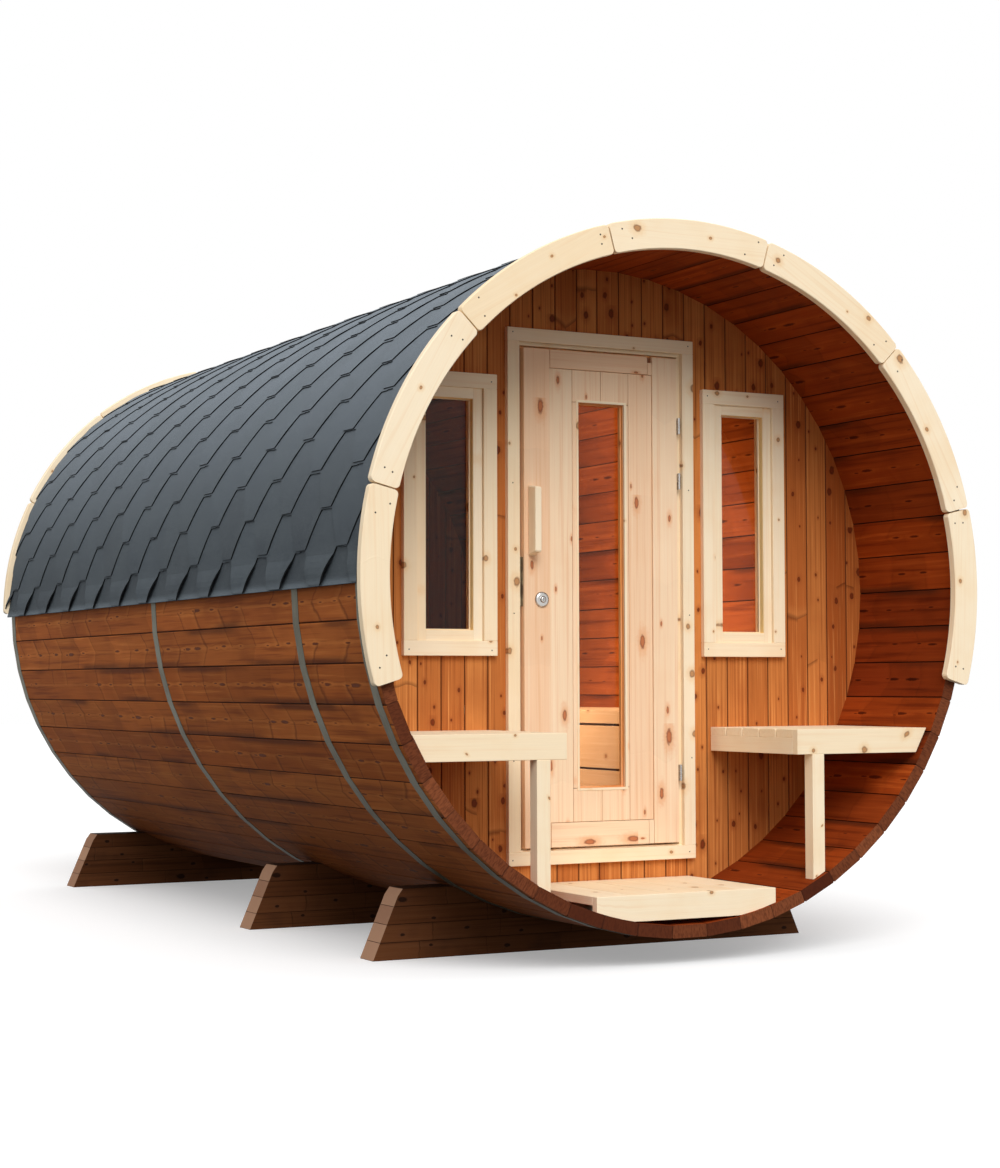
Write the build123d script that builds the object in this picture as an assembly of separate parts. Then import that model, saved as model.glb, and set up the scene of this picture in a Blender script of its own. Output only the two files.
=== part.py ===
from build123d import *
from math import cos, degrees, hypot, radians, sin, sqrt
import os

# Barrel sauna, in millimetres. +X is to the right of someone who faces the porch, +Y runs from
# the porch to the back end, +Z is up. The origin is on the ground under the middle of the barrel.

# Barrel: bevelled staves side by side, with a groove for each end wall
stave_count = 54
staves_per_segment = 6
barrel_radius = 1100
stave_thickness = 40
barrel_length = 3652
ground_clearance = 83
stave_bevel = 4
stave_inner_bevel = 2.5
wall_groove_depth = 8

# Trim boards over the stave ends
trim_overhang = 31
trim_board_width = 94
trim_thickness = 28
trim_board_count = 7
front_trim_end_angle = -16.8
back_trim_end_angle = -0.5
trim_joint_gap = 2
trim_corner_cut = 4

# Steel hoops and roof covering
hoop_width = 46
hoop_thickness = 1.5
hoop_front_setback = 76
hoop_back_setback = 58
hoop_front_place = 553
hoop_middle_place = 1850
hoop_notch_gap = 0.5
roof_air_gap = 0.5
roof_thickness = 6
roof_drop_below_axis = 18
roof_end_gap = 1

# Cradles under the barrel
cradle_front_place = 590
cradle_middle_place = 1625
cradle_back_setback = 60
cradle_thickness = 98
cradle_end_inset = 285
cradle_back_extra = 42
cradle_seat_rise = 140
cradle_end_slope = 86
cradle_end_chamfer_width = 18
cradle_end_chamfer_height = 24

# Front and back walls
wall_thickness = 45
front_wall_setback = 545
back_wall_setback = 100

# Door frame and its casing
door_centre_x = -8
door_rise = 159
door_casing_width = 714
door_head_room = 150
casing_board = 44
casing_thickness = 20
jamb_lip = 11
sill_lip = 4
jamb_thickness = 34
jamb_fit = 0.3
stop_width = 14
stop_thickness = 18

# Door leaf
leaf_gap = 7
leaf_sill_gap = 6
leaf_thickness = 44
leaf_recess = 6
leaf_stop_gap = 5
stile_width = 98
top_rail_height = 62
bottom_rail_height = 80
panel_recess = 4
door_glass_width = 176
door_glass_rise = 190
door_glass_drop = 169
door_bead_width = 8
door_bead_rise = 2
door_glass_thickness = 6
door_glass_setback = 34
glass_groove = 8
glass_fit = 0.3

# Door hardware
hinge_low_rise = 206
hinge_middle_drop = 443
hinge_top_drop = 256
hinge_length = 54
hinge_barrel_radius = 5
hinge_pin_radius = 2.5
hinge_pin_play = 0.3
hinge_washer_gap = 1
hinge_leaf_thickness = 2
hinge_leaf_depth = 36
grip_width = 24
grip_depth = 50
grip_height = 230
grip_rise = 947
grip_inset = 15
grip_rounding = 5
lock_rise = 806
lock_inset = 65
lock_rose_radius = 26
lock_rose_height = 9
lock_rose_chamfer = 4
lock_core_radius = 9
lock_core_height = 5
lock_slot_width = 2.5
lock_slot_length = 11
lock_slot_depth = 3
strike_width = 9
strike_length = 160
strike_below_lock = 22
strike_thickness = 2

# Windows beside the door
window_offset_x = 563
window_width = 334
window_rim_gap = 75
window_sill_drop = 225
window_casing_board = 48
sash_width = 34
sash_recess = 10
lining_lap = 28
window_glass_thickness = 14
window_glass_setback = 38

# Porch benches
bench_inner_x = 424
bench_seat_height = 497
bench_board_thickness = 27
bench_rail_height = 80
bench_rail_thickness = 27
bench_front_setback = 45
bench_end_gap = 10
bench_board_count = 5
bench_board_gap = 6
leg_centre_x = 505
leg_width = 46
leg_depth = 44

# Porch deck
deck_half_width = 328
deck_rise = 100
deck_front_setback = 35
deck_board_thickness = 27
deck_board_count = 5
deck_board_gap = 4
deck_face_depth = 81
deck_bearer_thickness = 40
deck_wall_gap = 3

# Floor and benches inside
floor_below_sill = 6
floor_board_thickness = 28
floor_bearer_thickness = 45
floor_bearer_count = 4
floor_wall_gap = 0.3
inner_bench_x = 420
inner_bench_seat_height = 480
inner_bench_rail_height = 48
inner_bench_rail_thickness = 28
inner_bench_board_thickness = 27
inner_bench_board_count = 4
inner_bench_board_width = 124
inner_bench_board_gap = 12
inner_bench_post_width = 45
inner_bench_post_count = 3

# Worked out from the sizes above
total_length = barrel_length + 2 * trim_thickness
front_y = -total_length / 2
stave_front_y = front_y + trim_thickness
stave_back_y = stave_front_y + barrel_length
axis_height = barrel_radius + ground_clearance
stave_angle = 360 / stave_count
first_joint = -90 - stave_angle / 2
stave_inner_radius = barrel_radius - stave_thickness
stave_inner_flat = stave_inner_radius * cos(radians(stave_angle / 2))
stave_outer_width = 2 * barrel_radius * sin(radians(stave_angle / 2))
stave_inner_width = 2 * stave_inner_radius * sin(radians(stave_angle / 2))
groove_radius = stave_inner_radius + wall_groove_depth
barrel_floor_z = axis_height - stave_inner_radius
trim_outer_radius = barrel_radius + trim_overhang
trim_inner_radius = trim_outer_radius - trim_board_width
hoop_places = (hoop_front_setback, hoop_front_place, hoop_middle_place,
               total_length - hoop_back_setback)
cradle_back_place = total_length - cradle_back_setback - cradle_thickness
cradle_half_width = barrel_radius - cradle_end_inset
cradle_height = ground_clearance + cradle_seat_rise
front_wall_y = front_y + front_wall_setback
front_wall_back_y = front_wall_y + wall_thickness
back_wall_back_y = stave_back_y - back_wall_setback
back_wall_y = back_wall_back_y - wall_thickness
casing_y = front_wall_y - casing_thickness

door_half = door_casing_width / 2
door_bottom_z = barrel_floor_z + door_rise
door_corner_x = door_half + abs(door_centre_x)
door_top_z = axis_height + sqrt(stave_inner_flat ** 2 - door_corner_x ** 2) - door_head_room
casing_inner_half = door_half - casing_board
casing_inner_top = door_top_z - casing_board
casing_inner_bottom = door_bottom_z + casing_board
jamb_inner_half = casing_inner_half - jamb_lip
jamb_inner_top = casing_inner_top - jamb_lip
sill_top = casing_inner_bottom + sill_lip
doorway_half = jamb_inner_half + jamb_thickness
doorway_top = jamb_inner_top + jamb_thickness
doorway_bottom = sill_top - jamb_thickness
floor_top_z = doorway_bottom - floor_below_sill

leaf_half = jamb_inner_half - leaf_gap
leaf_top = jamb_inner_top - leaf_gap
leaf_bottom = sill_top + leaf_sill_gap
leaf_y = casing_y + leaf_recess
leaf_back_y = leaf_y + leaf_thickness
leaf_left_x = door_centre_x - leaf_half
stop_y = leaf_back_y + leaf_stop_gap
panel_y = leaf_y + panel_recess
door_glass_y = leaf_y + door_glass_setback
door_glass_bottom_z = leaf_bottom + door_glass_rise
door_glass_top_z = leaf_top - door_glass_drop
hinge_x = door_centre_x + leaf_half + leaf_gap / 2
hinge_y = casing_y
hinge_heights = (leaf_bottom + hinge_low_rise, leaf_top - hinge_middle_drop, leaf_top - hinge_top_drop)
grip_bottom_z = leaf_bottom + grip_rise
lock_height = leaf_bottom + lock_rise
strike_bottom_z = lock_height - strike_below_lock

window_corner_x = abs(door_centre_x) + window_offset_x + window_width / 2
window_top_z = axis_height + sqrt(stave_inner_flat ** 2 - window_corner_x ** 2) - window_rim_gap
window_bottom_z = axis_height - window_sill_drop
window_glass_y = casing_y + window_glass_setback

deck_top_z = barrel_floor_z + deck_rise
bench_top_z = deck_top_z + bench_seat_height
inner_bench_top_z = floor_top_z + inner_bench_seat_height

WALL_PLANE_Z = (0, -1, 0)


def polar(radius, angle):
    """Point at a radius and an angle in degrees about the barrel's axis."""
    return (radius * cos(radians(angle)), axis_height + radius * sin(radians(angle)))


def section_face(points, y):
    """Face through (x, z) points, standing across the barrel at y."""
    plane = Plane(origin=(0, y, 0), x_dir=(1, 0, 0), z_dir=WALL_PLANE_Z)
    return plane * make_face(Polyline(*points, close=True))


def prism(points, y0, y1):
    """Solid whose (x, z) section runs along the barrel from y0 to y1."""
    return extrude(section_face(points, y0), amount=-(y1 - y0))


def block(x0, x1, y0, y1, z0, z1):
    """Square-cut board between three pairs of planes."""
    return Pos((x0 + x1) / 2, (y0 + y1) / 2, (z0 + z1) / 2) * Box(x1 - x0, y1 - y0, z1 - z0)


def stave_polygon(radius):
    """Corner points of the many-sided section that the staves make at one radius."""
    return [polar(radius, first_joint + stave_angle * i) for i in range(stave_count)]


def barrel_plug(radius, y0, y1):
    """Solid disc with the staves' own many-sided edge."""
    return prism(stave_polygon(radius), y0, y1)


def ring_sector(inner, outer, angle0, angle1, y0, y1):
    """Curved board: part of a ring between two angles, extruded along the barrel."""
    middle = (angle0 + angle1) / 2
    edges = [
        Line(polar(inner, angle0), polar(outer, angle0)),
        ThreePointArc(polar(outer, angle0), polar(outer, middle), polar(outer, angle1)),
        Line(polar(outer, angle1), polar(inner, angle1)),
        ThreePointArc(polar(inner, angle1), polar(inner, middle), polar(inner, angle0)),
    ]
    plane = Plane(origin=(0, y0, 0), x_dir=(1, 0, 0), z_dir=WALL_PLANE_Z)
    return extrude(plane * make_face(edges), amount=-(y1 - y0))


# Barrel

def on_stave_face(radius, joint, distance):
    """Point on a stave's flat face, at a distance from the joint where the stave starts."""
    x0, z0 = polar(radius, joint)
    x1, z1 = polar(radius, joint + stave_angle)
    share = distance / hypot(x1 - x0, z1 - z0)
    return (x0 + (x1 - x0) * share, z0 + (z1 - z0) * share)


def stave_segment(index, grooves):
    """Staves side by side, with bevelled edges and the grooves for both end walls."""
    start = first_joint + index * staves_per_segment * stave_angle
    end = start + stave_angle * staves_per_segment
    outline = []
    for i in range(staves_per_segment):
        joint = start + stave_angle * i
        outline.append(polar(barrel_radius - stave_bevel, joint))
        outline.append(on_stave_face(barrel_radius, joint, stave_bevel))
        outline.append(on_stave_face(barrel_radius, joint, stave_outer_width - stave_bevel))
    outline.append(polar(barrel_radius - stave_bevel, end))
    inner_valley = stave_inner_radius + stave_inner_bevel
    for i in range(staves_per_segment):
        joint = end - stave_angle * (i + 1)
        far = stave_inner_width - stave_inner_bevel
        outline.append(polar(inner_valley, joint + stave_angle))
        outline.append(on_stave_face(stave_inner_radius, joint, far))
        outline.append(on_stave_face(stave_inner_radius, joint, stave_inner_bevel))
    outline.append(polar(inner_valley, start))
    return prism(outline, stave_front_y, stave_back_y) - grooves


def hoops():
    """Flat steel hoops that pull the staves together, each with the barrel's many sides."""
    rings = []
    for place in hoop_places:
        y0 = front_y + place - hoop_width / 2
        y1 = y0 + hoop_width
        outer = barrel_plug(barrel_radius + hoop_thickness, y0, y1)
        rings.append(outer - barrel_plug(barrel_radius, y0, y1))
    return rings


def roof_covering():
    """Bitumen shingle skin laid on the staves' flats, down to just below the barrel's middle."""
    inner = barrel_radius + hoop_thickness + roof_air_gap
    outer = inner + roof_thickness
    y0 = stave_front_y + roof_end_gap
    y1 = stave_back_y - roof_end_gap
    skin = barrel_plug(outer, y0, y1) - barrel_plug(inner, y0, y1)
    lower_edge = axis_height - roof_drop_below_axis
    return skin & block(-outer, outer, y0, y1, lower_edge, axis_height + outer)


def trim_board(index, end_angle, y0):
    """One arc-cut board of the trim ring over the stave ends, its four corners cut."""
    span = (180 - 2 * end_angle) / trim_board_count
    half_gap = degrees(trim_joint_gap / 2 / trim_outer_radius)
    start = end_angle + span * index + half_gap
    end = start + span - 2 * half_gap
    board = ring_sector(trim_inner_radius, trim_outer_radius, start, end, y0, y0 + trim_thickness)
    return chamfer(board.edges().filter_by(Axis.Y), trim_corner_cut)


def cradle(place, half_width):
    """Heavy ground beam with raked ends, cut to the barrel's curve and notched for a hoop."""
    y0 = front_y + place
    top_half = half_width - cradle_end_slope
    chamfer_half = top_half - cradle_end_chamfer_width
    shoulder = cradle_height - cradle_end_chamfer_height
    outline = [
        (-half_width, 0), (half_width, 0), (top_half, shoulder),
        (chamfer_half, cradle_height), (-chamfer_half, cradle_height), (-top_half, shoulder),
    ]
    y1 = y0 + cradle_thickness
    beam = prism(outline, y0, y1) - barrel_plug(barrel_radius, y0, y1)
    for hoop_place in hoop_places:
        hoop_y = front_y + hoop_place
        reach = hoop_width / 2 + hoop_notch_gap
        notch_radius = barrel_radius + hoop_thickness + hoop_notch_gap
        beam -= barrel_plug(notch_radius, hoop_y - reach, hoop_y + reach)
    return beam


# End walls

def front_wall_pieces():
    """Front wall round the doorway: left and right of it, over it and under it."""
    disc = barrel_plug(groove_radius, front_wall_y, front_wall_back_y)
    left_x = door_centre_x - doorway_half - jamb_fit
    right_x = door_centre_x + doorway_half + jamb_fit
    top = doorway_top + jamb_fit
    bottom = doorway_bottom - jamb_fit
    far = 2 * barrel_radius
    high = axis_height + far

    def part_of_disc(x0, x1, z0, z1):
        return disc & block(x0, x1, front_wall_y, front_wall_back_y, z0, z1)

    left = part_of_disc(-far, left_x, -far, high)
    right = part_of_disc(right_x, far, -far, high)
    for side in (-1, 1):
        hole = window_hole(side)
        left = left - hole
        right = right - hole
    return {
        "front_wall_left": left,
        "front_wall_right": right,
        "front_wall_over_door": part_of_disc(left_x, right_x, top, high),
        "front_wall_under_door": part_of_disc(left_x, right_x, -far, bottom),
    }


def window_centre(side):
    """Middle of the left (-1) or right (1) window, across the wall."""
    return door_centre_x + side * window_offset_x


def window_hole(side):
    """Hole in the wall that takes the window's lining."""
    x = window_centre(side)
    half = window_width / 2 - lining_lap
    return block(x - half, x + half, front_wall_y, front_wall_back_y,
                 window_bottom_z + lining_lap, window_top_z - lining_lap)


# Door frame

def casing_side(side, y0, y1):
    """Upright casing board beside the doorway, between the head and sill boards."""
    x_in = door_centre_x + side * casing_inner_half
    x_out = door_centre_x + side * door_half
    return block(min(x_in, x_out), max(x_in, x_out), y0, y1, casing_inner_bottom, casing_inner_top)


def door_jamb(side):
    """Upright of the door frame with its casing board and the strip the leaf closes against."""
    x_in = door_centre_x + side * jamb_inner_half
    x_out = door_centre_x + side * doorway_half
    x_stop = x_in - side * stop_width
    post = block(min(x_in, x_out), max(x_in, x_out), front_wall_y, stop_y + stop_thickness,
                 sill_top, jamb_inner_top)
    stop = block(min(x_in, x_stop), max(x_in, x_stop), stop_y, stop_y + stop_thickness,
                 sill_top, jamb_inner_top)
    return post + stop + casing_side(side, casing_y, front_wall_y)


def door_head():
    """Top of the door frame with the casing board that spans both uprights."""
    x0 = door_centre_x - doorway_half
    x1 = door_centre_x + doorway_half
    beam = block(x0, x1, front_wall_y, stop_y + stop_thickness, jamb_inner_top, doorway_top)
    board = block(door_centre_x - door_half, door_centre_x + door_half, casing_y, front_wall_y,
                  casing_inner_top, door_top_z)
    return beam + board


def door_sill():
    """Threshold with the casing board under the door."""
    x0 = door_centre_x - doorway_half
    x1 = door_centre_x + doorway_half
    beam = block(x0, x1, front_wall_y, stop_y + stop_thickness, doorway_bottom, sill_top)
    board = block(door_centre_x - door_half, door_centre_x + door_half, casing_y, front_wall_y,
                  door_bottom_z, casing_inner_bottom)
    return beam + board


# Door leaf

def door_leaf():
    """Framed leaf: stiles, rails and a panel set back a little, open for the glass."""
    x = door_centre_x
    leaf = block(x - leaf_half, x + leaf_half, leaf_y, leaf_back_y, leaf_bottom, leaf_top)
    recess = block(x - leaf_half + stile_width, x + leaf_half - stile_width, leaf_y, panel_y,
                   leaf_bottom + bottom_rail_height, leaf_top - top_rail_height)
    half = door_glass_width / 2
    z0 = door_glass_bottom_z
    z1 = door_glass_top_z
    bead = block(x - half - door_bead_width, x + half + door_bead_width,
                 panel_y - door_bead_rise, panel_y, z0 - door_bead_width, z1 + door_bead_width)
    opening = block(x - half, x + half, leaf_y, leaf_back_y, z0, z1)
    groove = block(x - half - glass_groove, x + half + glass_groove, door_glass_y - glass_fit,
                   door_glass_y + door_glass_thickness + glass_fit, z0 - glass_groove, z1 + glass_groove)
    return (leaf - recess + bead) - opening - groove


def door_glass():
    """Tall pane held in the groove round the leaf's opening."""
    reach = glass_groove - glass_fit
    half = door_glass_width / 2 + reach
    return block(door_centre_x - half, door_centre_x + half, door_glass_y,
                 door_glass_y + door_glass_thickness, door_glass_bottom_z - reach,
                 door_glass_top_z + reach)


def grip(y_leaf, y_end):
    """Wooden block grip that stands edge-on to the leaf, with rounded outer corners."""
    x0 = leaf_left_x + grip_inset
    body = block(x0, x0 + grip_width, min(y_leaf, y_end), max(y_leaf, y_end),
                 grip_bottom_z, grip_bottom_z + grip_height)
    end_face = body.faces().sort_by(Axis.Y)[0 if y_end < y_leaf else -1]
    return fillet(end_face.edges(), grip_rounding)


def lock():
    """Round lock rose with a raised core and its key slot."""
    x = leaf_left_x + lock_inset
    out = Rotation(90, 0, 0)
    lift = lock_rose_height / 2
    rose = Pos(x, leaf_y - lift, lock_height) * (out * Cylinder(lock_rose_radius, lock_rose_height))
    rose = chamfer(rose.edges().filter_by(lambda edge: edge.center().Y < leaf_y - lift),
                   lock_rose_chamfer)
    core_y = leaf_y - lock_rose_height - lock_core_height / 2
    core = Pos(x, core_y, lock_height) * (out * Cylinder(lock_core_radius, lock_core_height))
    tip_y = leaf_y - lock_rose_height - lock_core_height
    slot = block(x - lock_slot_width / 2, x + lock_slot_width / 2, tip_y, tip_y + lock_slot_depth,
                 lock_height - lock_slot_length / 2, lock_height + lock_slot_length / 2)
    return rose + core - slot


def strike_plate():
    """Dark plate on the edge of the left jamb, level with the lock."""
    x1 = door_centre_x - jamb_inner_half
    return block(x1 - strike_width, x1, front_wall_y - strike_thickness, front_wall_y,
                 strike_bottom_z, strike_bottom_z + strike_length)


def hinge_knuckle(radius, z0, z1):
    """Upright round length on the hinge line."""
    return Pos(hinge_x, hinge_y, (z0 + z1) / 2) * Cylinder(radius, z1 - z0)


def hinge_on_frame(z):
    """Lower half of a lift-off hinge: flap on the jamb, knuckle and the pin."""
    middle = z + hinge_length / 2
    x1 = door_centre_x + jamb_inner_half
    flap = block(x1 - hinge_leaf_thickness, x1, hinge_y, hinge_y + hinge_leaf_depth, z, middle)
    pin = hinge_knuckle(hinge_pin_radius, z, z + hinge_length)
    return hinge_knuckle(hinge_barrel_radius, z, middle) + flap + pin


def hinge_on_door(z):
    """Upper half of a lift-off hinge: flap on the leaf's edge and a knuckle bored for the pin."""
    bottom = z + hinge_length / 2 + hinge_washer_gap
    top = z + hinge_length
    x0 = door_centre_x + leaf_half
    flap = block(x0, x0 + hinge_leaf_thickness, hinge_y, hinge_y + hinge_leaf_depth, bottom, top)
    knuckle = hinge_knuckle(hinge_barrel_radius, bottom, top) + flap
    return knuckle - hinge_knuckle(hinge_pin_radius + hinge_pin_play, bottom, top)


# Windows

def window_frame(side):
    """Fixed window: casing boards on the wall and a lining grooved for the glass."""
    x = window_centre(side)
    half = window_width / 2
    z0 = window_bottom_z
    z1 = window_top_z
    inner = half - window_casing_board
    sash = inner - sash_width
    lining = half - lining_lap
    casing = block(x - half, x + half, casing_y, front_wall_y, z0, z1)
    casing -= block(x - inner, x + inner, casing_y, front_wall_y,
                    z0 + window_casing_board, z1 - window_casing_board)
    body = block(x - lining, x + lining, front_wall_y, front_wall_back_y,
                 z0 + lining_lap, z1 - lining_lap)
    lip = block(x - inner, x + inner, casing_y + sash_recess, front_wall_y,
                z0 + window_casing_board, z1 - window_casing_board)
    rim = window_casing_board + sash_width
    opening = block(x - sash, x + sash, casing_y, front_wall_back_y, z0 + rim, z1 - rim)
    groove = block(x - sash - glass_groove, x + sash + glass_groove, window_glass_y - glass_fit,
                   window_glass_y + window_glass_thickness + glass_fit,
                   z0 + rim - glass_groove, z1 - rim + glass_groove)
    return (casing + body + lip) - opening - groove


def window_glass(side):
    """Pane held in the groove of a window's lining."""
    x = window_centre(side)
    reach = glass_groove - glass_fit
    rim = window_casing_board + sash_width - reach
    half = window_width / 2 - rim
    return block(x - half, x + half, window_glass_y, window_glass_y + window_glass_thickness,
                 window_bottom_z + rim, window_top_z - rim)


# Porch

def side_block(side, near, far, y0, y1, z0, z1):
    """Board on the left (-1) or right (1) side, its ends measured from the barrel's middle."""
    x0, x1 = sorted((side * near, side * far))
    return block(x0, x1, y0, y1, z0, z1)


def porch_bench(side):
    """Corner bench on one leg: slatted seat in a rail frame, its end cut to the barrel."""
    y0 = front_y + bench_front_setback
    y1 = front_wall_y
    board_bottom = bench_top_z - bench_board_thickness
    rail_bottom = bench_top_z - bench_rail_height
    reach = 2 * barrel_radius
    seat = side_block(side, bench_inner_x, reach, y0, y0 + bench_rail_thickness,
                      rail_bottom, bench_top_z)
    seat += side_block(side, bench_inner_x, bench_inner_x + bench_rail_thickness, y0, y1,
                       rail_bottom, board_bottom)
    seat += side_block(side, bench_inner_x, reach, y1 - bench_rail_thickness, y1,
                       rail_bottom, board_bottom)
    slats_y = y0 + bench_rail_thickness
    pitch = (y1 - slats_y + bench_board_gap) / bench_board_count
    for i in range(bench_board_count):
        start = slats_y + pitch * i
        seat += side_block(side, bench_inner_x, reach, start, start + pitch - bench_board_gap,
                           board_bottom, bench_top_z)
    leg_near = leg_centre_x - leg_width / 2
    leg_far = leg_centre_x + leg_width / 2
    seat += side_block(side, leg_near, leg_far, y0, y1, rail_bottom, board_bottom)
    trimmed = seat & barrel_plug(stave_inner_radius - bench_end_gap, y0, y1)
    leg = side_block(side, leg_near, leg_far, y0, y0 + leg_depth, 0, rail_bottom)
    leg = leg & barrel_plug(stave_inner_radius, y0, y0 + leg_depth)
    return trimmed + leg


def porch_deck():
    """Low deck inside the door: boards on bearers that follow the staves, with a face board."""
    y0 = front_y + deck_front_setback
    y1 = front_wall_y - deck_wall_gap
    half = deck_half_width
    under = deck_top_z - deck_board_thickness
    face_bottom = deck_top_z - deck_face_depth
    deck = block(-half, half, y0, y0 + deck_board_thickness, face_bottom, deck_top_z)
    pitch = (2 * half + deck_board_gap) / deck_board_count
    for i in range(deck_board_count):
        x = -half + pitch * i
        deck += block(x, x + pitch - deck_board_gap, y0 + deck_board_thickness, y1, under, deck_top_z)
    deck += block(-half, half, y1 - deck_bearer_thickness, y1, 0, under)
    middle = (y0 + y1) / 2
    deck += block(-half, half, middle, middle + deck_bearer_thickness, 0, under)
    return deck & barrel_plug(stave_inner_radius, y0, y1)


# Inside

def sauna_floor():
    """Boarded floor from wall to wall, on bearers cut to the staves."""
    y0 = front_wall_back_y + floor_wall_gap
    y1 = back_wall_y - floor_wall_gap
    under = floor_top_z - floor_board_thickness
    reach = barrel_radius
    floor = block(-reach, reach, y0, y1, under, floor_top_z)
    span = (y1 - y0 - floor_bearer_thickness) / (floor_bearer_count - 1)
    for i in range(floor_bearer_count):
        y = y0 + span * i
        floor += block(-reach, reach, y, y + floor_bearer_thickness, 0, under)
    return floor & barrel_plug(stave_inner_radius, y0, y1)


def inner_bench(side):
    """Long slatted bench along one side of the room, on posts that stand on the floor."""
    y0 = front_wall_back_y + floor_wall_gap
    y1 = back_wall_y - floor_wall_gap
    board_bottom = inner_bench_top_z - inner_bench_board_thickness
    rail_bottom = inner_bench_top_z - inner_bench_rail_height
    rail_far = inner_bench_x + inner_bench_rail_thickness
    post_far = inner_bench_x + inner_bench_post_width
    bench = side_block(side, inner_bench_x, rail_far, y0, y1, rail_bottom, inner_bench_top_z)
    for i in range(inner_bench_board_count):
        start = rail_far + (inner_bench_board_width + inner_bench_board_gap) * i
        bench += side_block(side, start, start + inner_bench_board_width, y0, y1,
                            board_bottom, inner_bench_top_z)
    span = (y1 - y0 - inner_bench_post_width) / (inner_bench_post_count - 1)
    for i in range(inner_bench_post_count):
        y = y0 + span * i
        bench += side_block(side, inner_bench_x, barrel_radius, y, y + inner_bench_post_width,
                            rail_bottom - inner_bench_post_width, board_bottom)
        bench += side_block(side, inner_bench_x, post_far, y, y + inner_bench_post_width,
                            floor_top_z, rail_bottom)
    return bench & barrel_plug(stave_inner_radius, y0, y1)


# Whole sauna

def build():
    """All nodes by name."""
    nodes = {}
    grooves = barrel_plug(groove_radius, front_wall_y, front_wall_back_y)
    grooves += barrel_plug(groove_radius, back_wall_y, back_wall_back_y)
    for i in range(stave_count // staves_per_segment):
        nodes[f"staves_{i + 1}"] = stave_segment(i, grooves)
    nodes["steel_hoops"] = Compound(children=hoops())
    nodes["roof_shingles"] = roof_covering()
    for i in range(trim_board_count):
        nodes[f"front_trim_{i + 1}"] = trim_board(i, front_trim_end_angle, front_y)
    back_trim = [trim_board(i, back_trim_end_angle, stave_back_y) for i in range(trim_board_count)]
    nodes["back_trim"] = Compound(children=back_trim)
    nodes["cradle_front"] = cradle(cradle_front_place, cradle_half_width)
    nodes["cradle_middle"] = cradle(cradle_middle_place, cradle_half_width)
    nodes["cradle_back"] = cradle(cradle_back_place, cradle_half_width + cradle_back_extra)
    nodes.update(front_wall_pieces())
    nodes["back_wall"] = barrel_plug(groove_radius, back_wall_y, back_wall_back_y)
    nodes["door_jambs"] = Compound(children=[door_jamb(-1), door_jamb(1)])
    nodes["door_head"] = door_head()
    nodes["door_sill"] = door_sill()
    nodes["strike_plate"] = strike_plate()
    nodes["window_frames"] = Compound(children=[window_frame(-1), window_frame(1)])
    nodes["window_glass"] = Compound(children=[window_glass(-1), window_glass(1)])
    nodes["porch_bench_left"] = porch_bench(-1)
    nodes["porch_bench_right"] = porch_bench(1)
    nodes["porch_deck"] = porch_deck()
    nodes["sauna_floor"] = sauna_floor()
    nodes["sauna_bench_left"] = inner_bench(-1)
    nodes["sauna_bench_right"] = inner_bench(1)
    nodes["door_leaf"] = door_leaf()
    nodes["door_glass"] = door_glass()
    outside_grip = grip(leaf_y, leaf_y - grip_depth)
    inside_grip = grip(leaf_back_y, leaf_back_y + grip_depth)
    nodes["door_grips"] = Compound(children=[outside_grip, inside_grip])
    nodes["door_lock"] = lock()
    nodes["hinges_on_frame"] = Compound(children=[hinge_on_frame(z) for z in hinge_heights])
    nodes["hinges_on_door"] = Compound(children=[hinge_on_door(z) for z in hinge_heights])
    return nodes


os.makedirs("parts", exist_ok=True)
for name, shape in build().items():
    export_step(shape, os.path.join("parts", f"{name}.step"))
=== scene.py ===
import math
from functools import partialmethod
import bpy
import numpy as np
from mathutils import Matrix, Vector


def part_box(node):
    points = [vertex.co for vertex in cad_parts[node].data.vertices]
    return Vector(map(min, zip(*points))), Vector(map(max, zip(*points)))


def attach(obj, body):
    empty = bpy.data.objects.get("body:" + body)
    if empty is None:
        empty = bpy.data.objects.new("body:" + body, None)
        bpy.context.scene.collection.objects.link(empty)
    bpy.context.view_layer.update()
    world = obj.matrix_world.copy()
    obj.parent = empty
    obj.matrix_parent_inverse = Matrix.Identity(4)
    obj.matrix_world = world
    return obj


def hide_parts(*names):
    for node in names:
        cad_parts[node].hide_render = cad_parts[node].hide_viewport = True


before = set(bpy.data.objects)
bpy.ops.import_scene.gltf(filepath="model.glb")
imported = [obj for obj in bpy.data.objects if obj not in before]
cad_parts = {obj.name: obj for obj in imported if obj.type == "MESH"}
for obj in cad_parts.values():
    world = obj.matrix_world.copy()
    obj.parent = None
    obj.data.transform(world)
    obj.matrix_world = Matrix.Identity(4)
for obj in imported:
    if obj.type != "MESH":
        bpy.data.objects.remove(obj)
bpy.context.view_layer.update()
scene = bpy.context.scene
scene.view_settings.view_transform = "Standard"

# Camera: stands low and to the left of the porch, a little below the barrel's axis.
# The lens is a short telephoto, as the photograph's nearly upright lines show.
camera_place = (-3.772, -7.640, 0.868)
camera_yaw, camera_pitch, camera_roll = 28.15, 2.57, 0.15
camera = bpy.data.objects.new("camera", bpy.data.cameras.new("camera"))
camera.data.lens = 68.6
camera.data.sensor_width = 36
camera.matrix_world = (
    Matrix.Translation(camera_place)
    @ Matrix.Rotation(math.radians(-camera_yaw), 4, "Z")
    @ Matrix.Rotation(math.radians(90 + camera_pitch), 4, "X")
    @ Matrix.Rotation(math.radians(-camera_roll), 4, "Z"))
scene.collection.objects.link(camera)
scene.camera = camera


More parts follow.
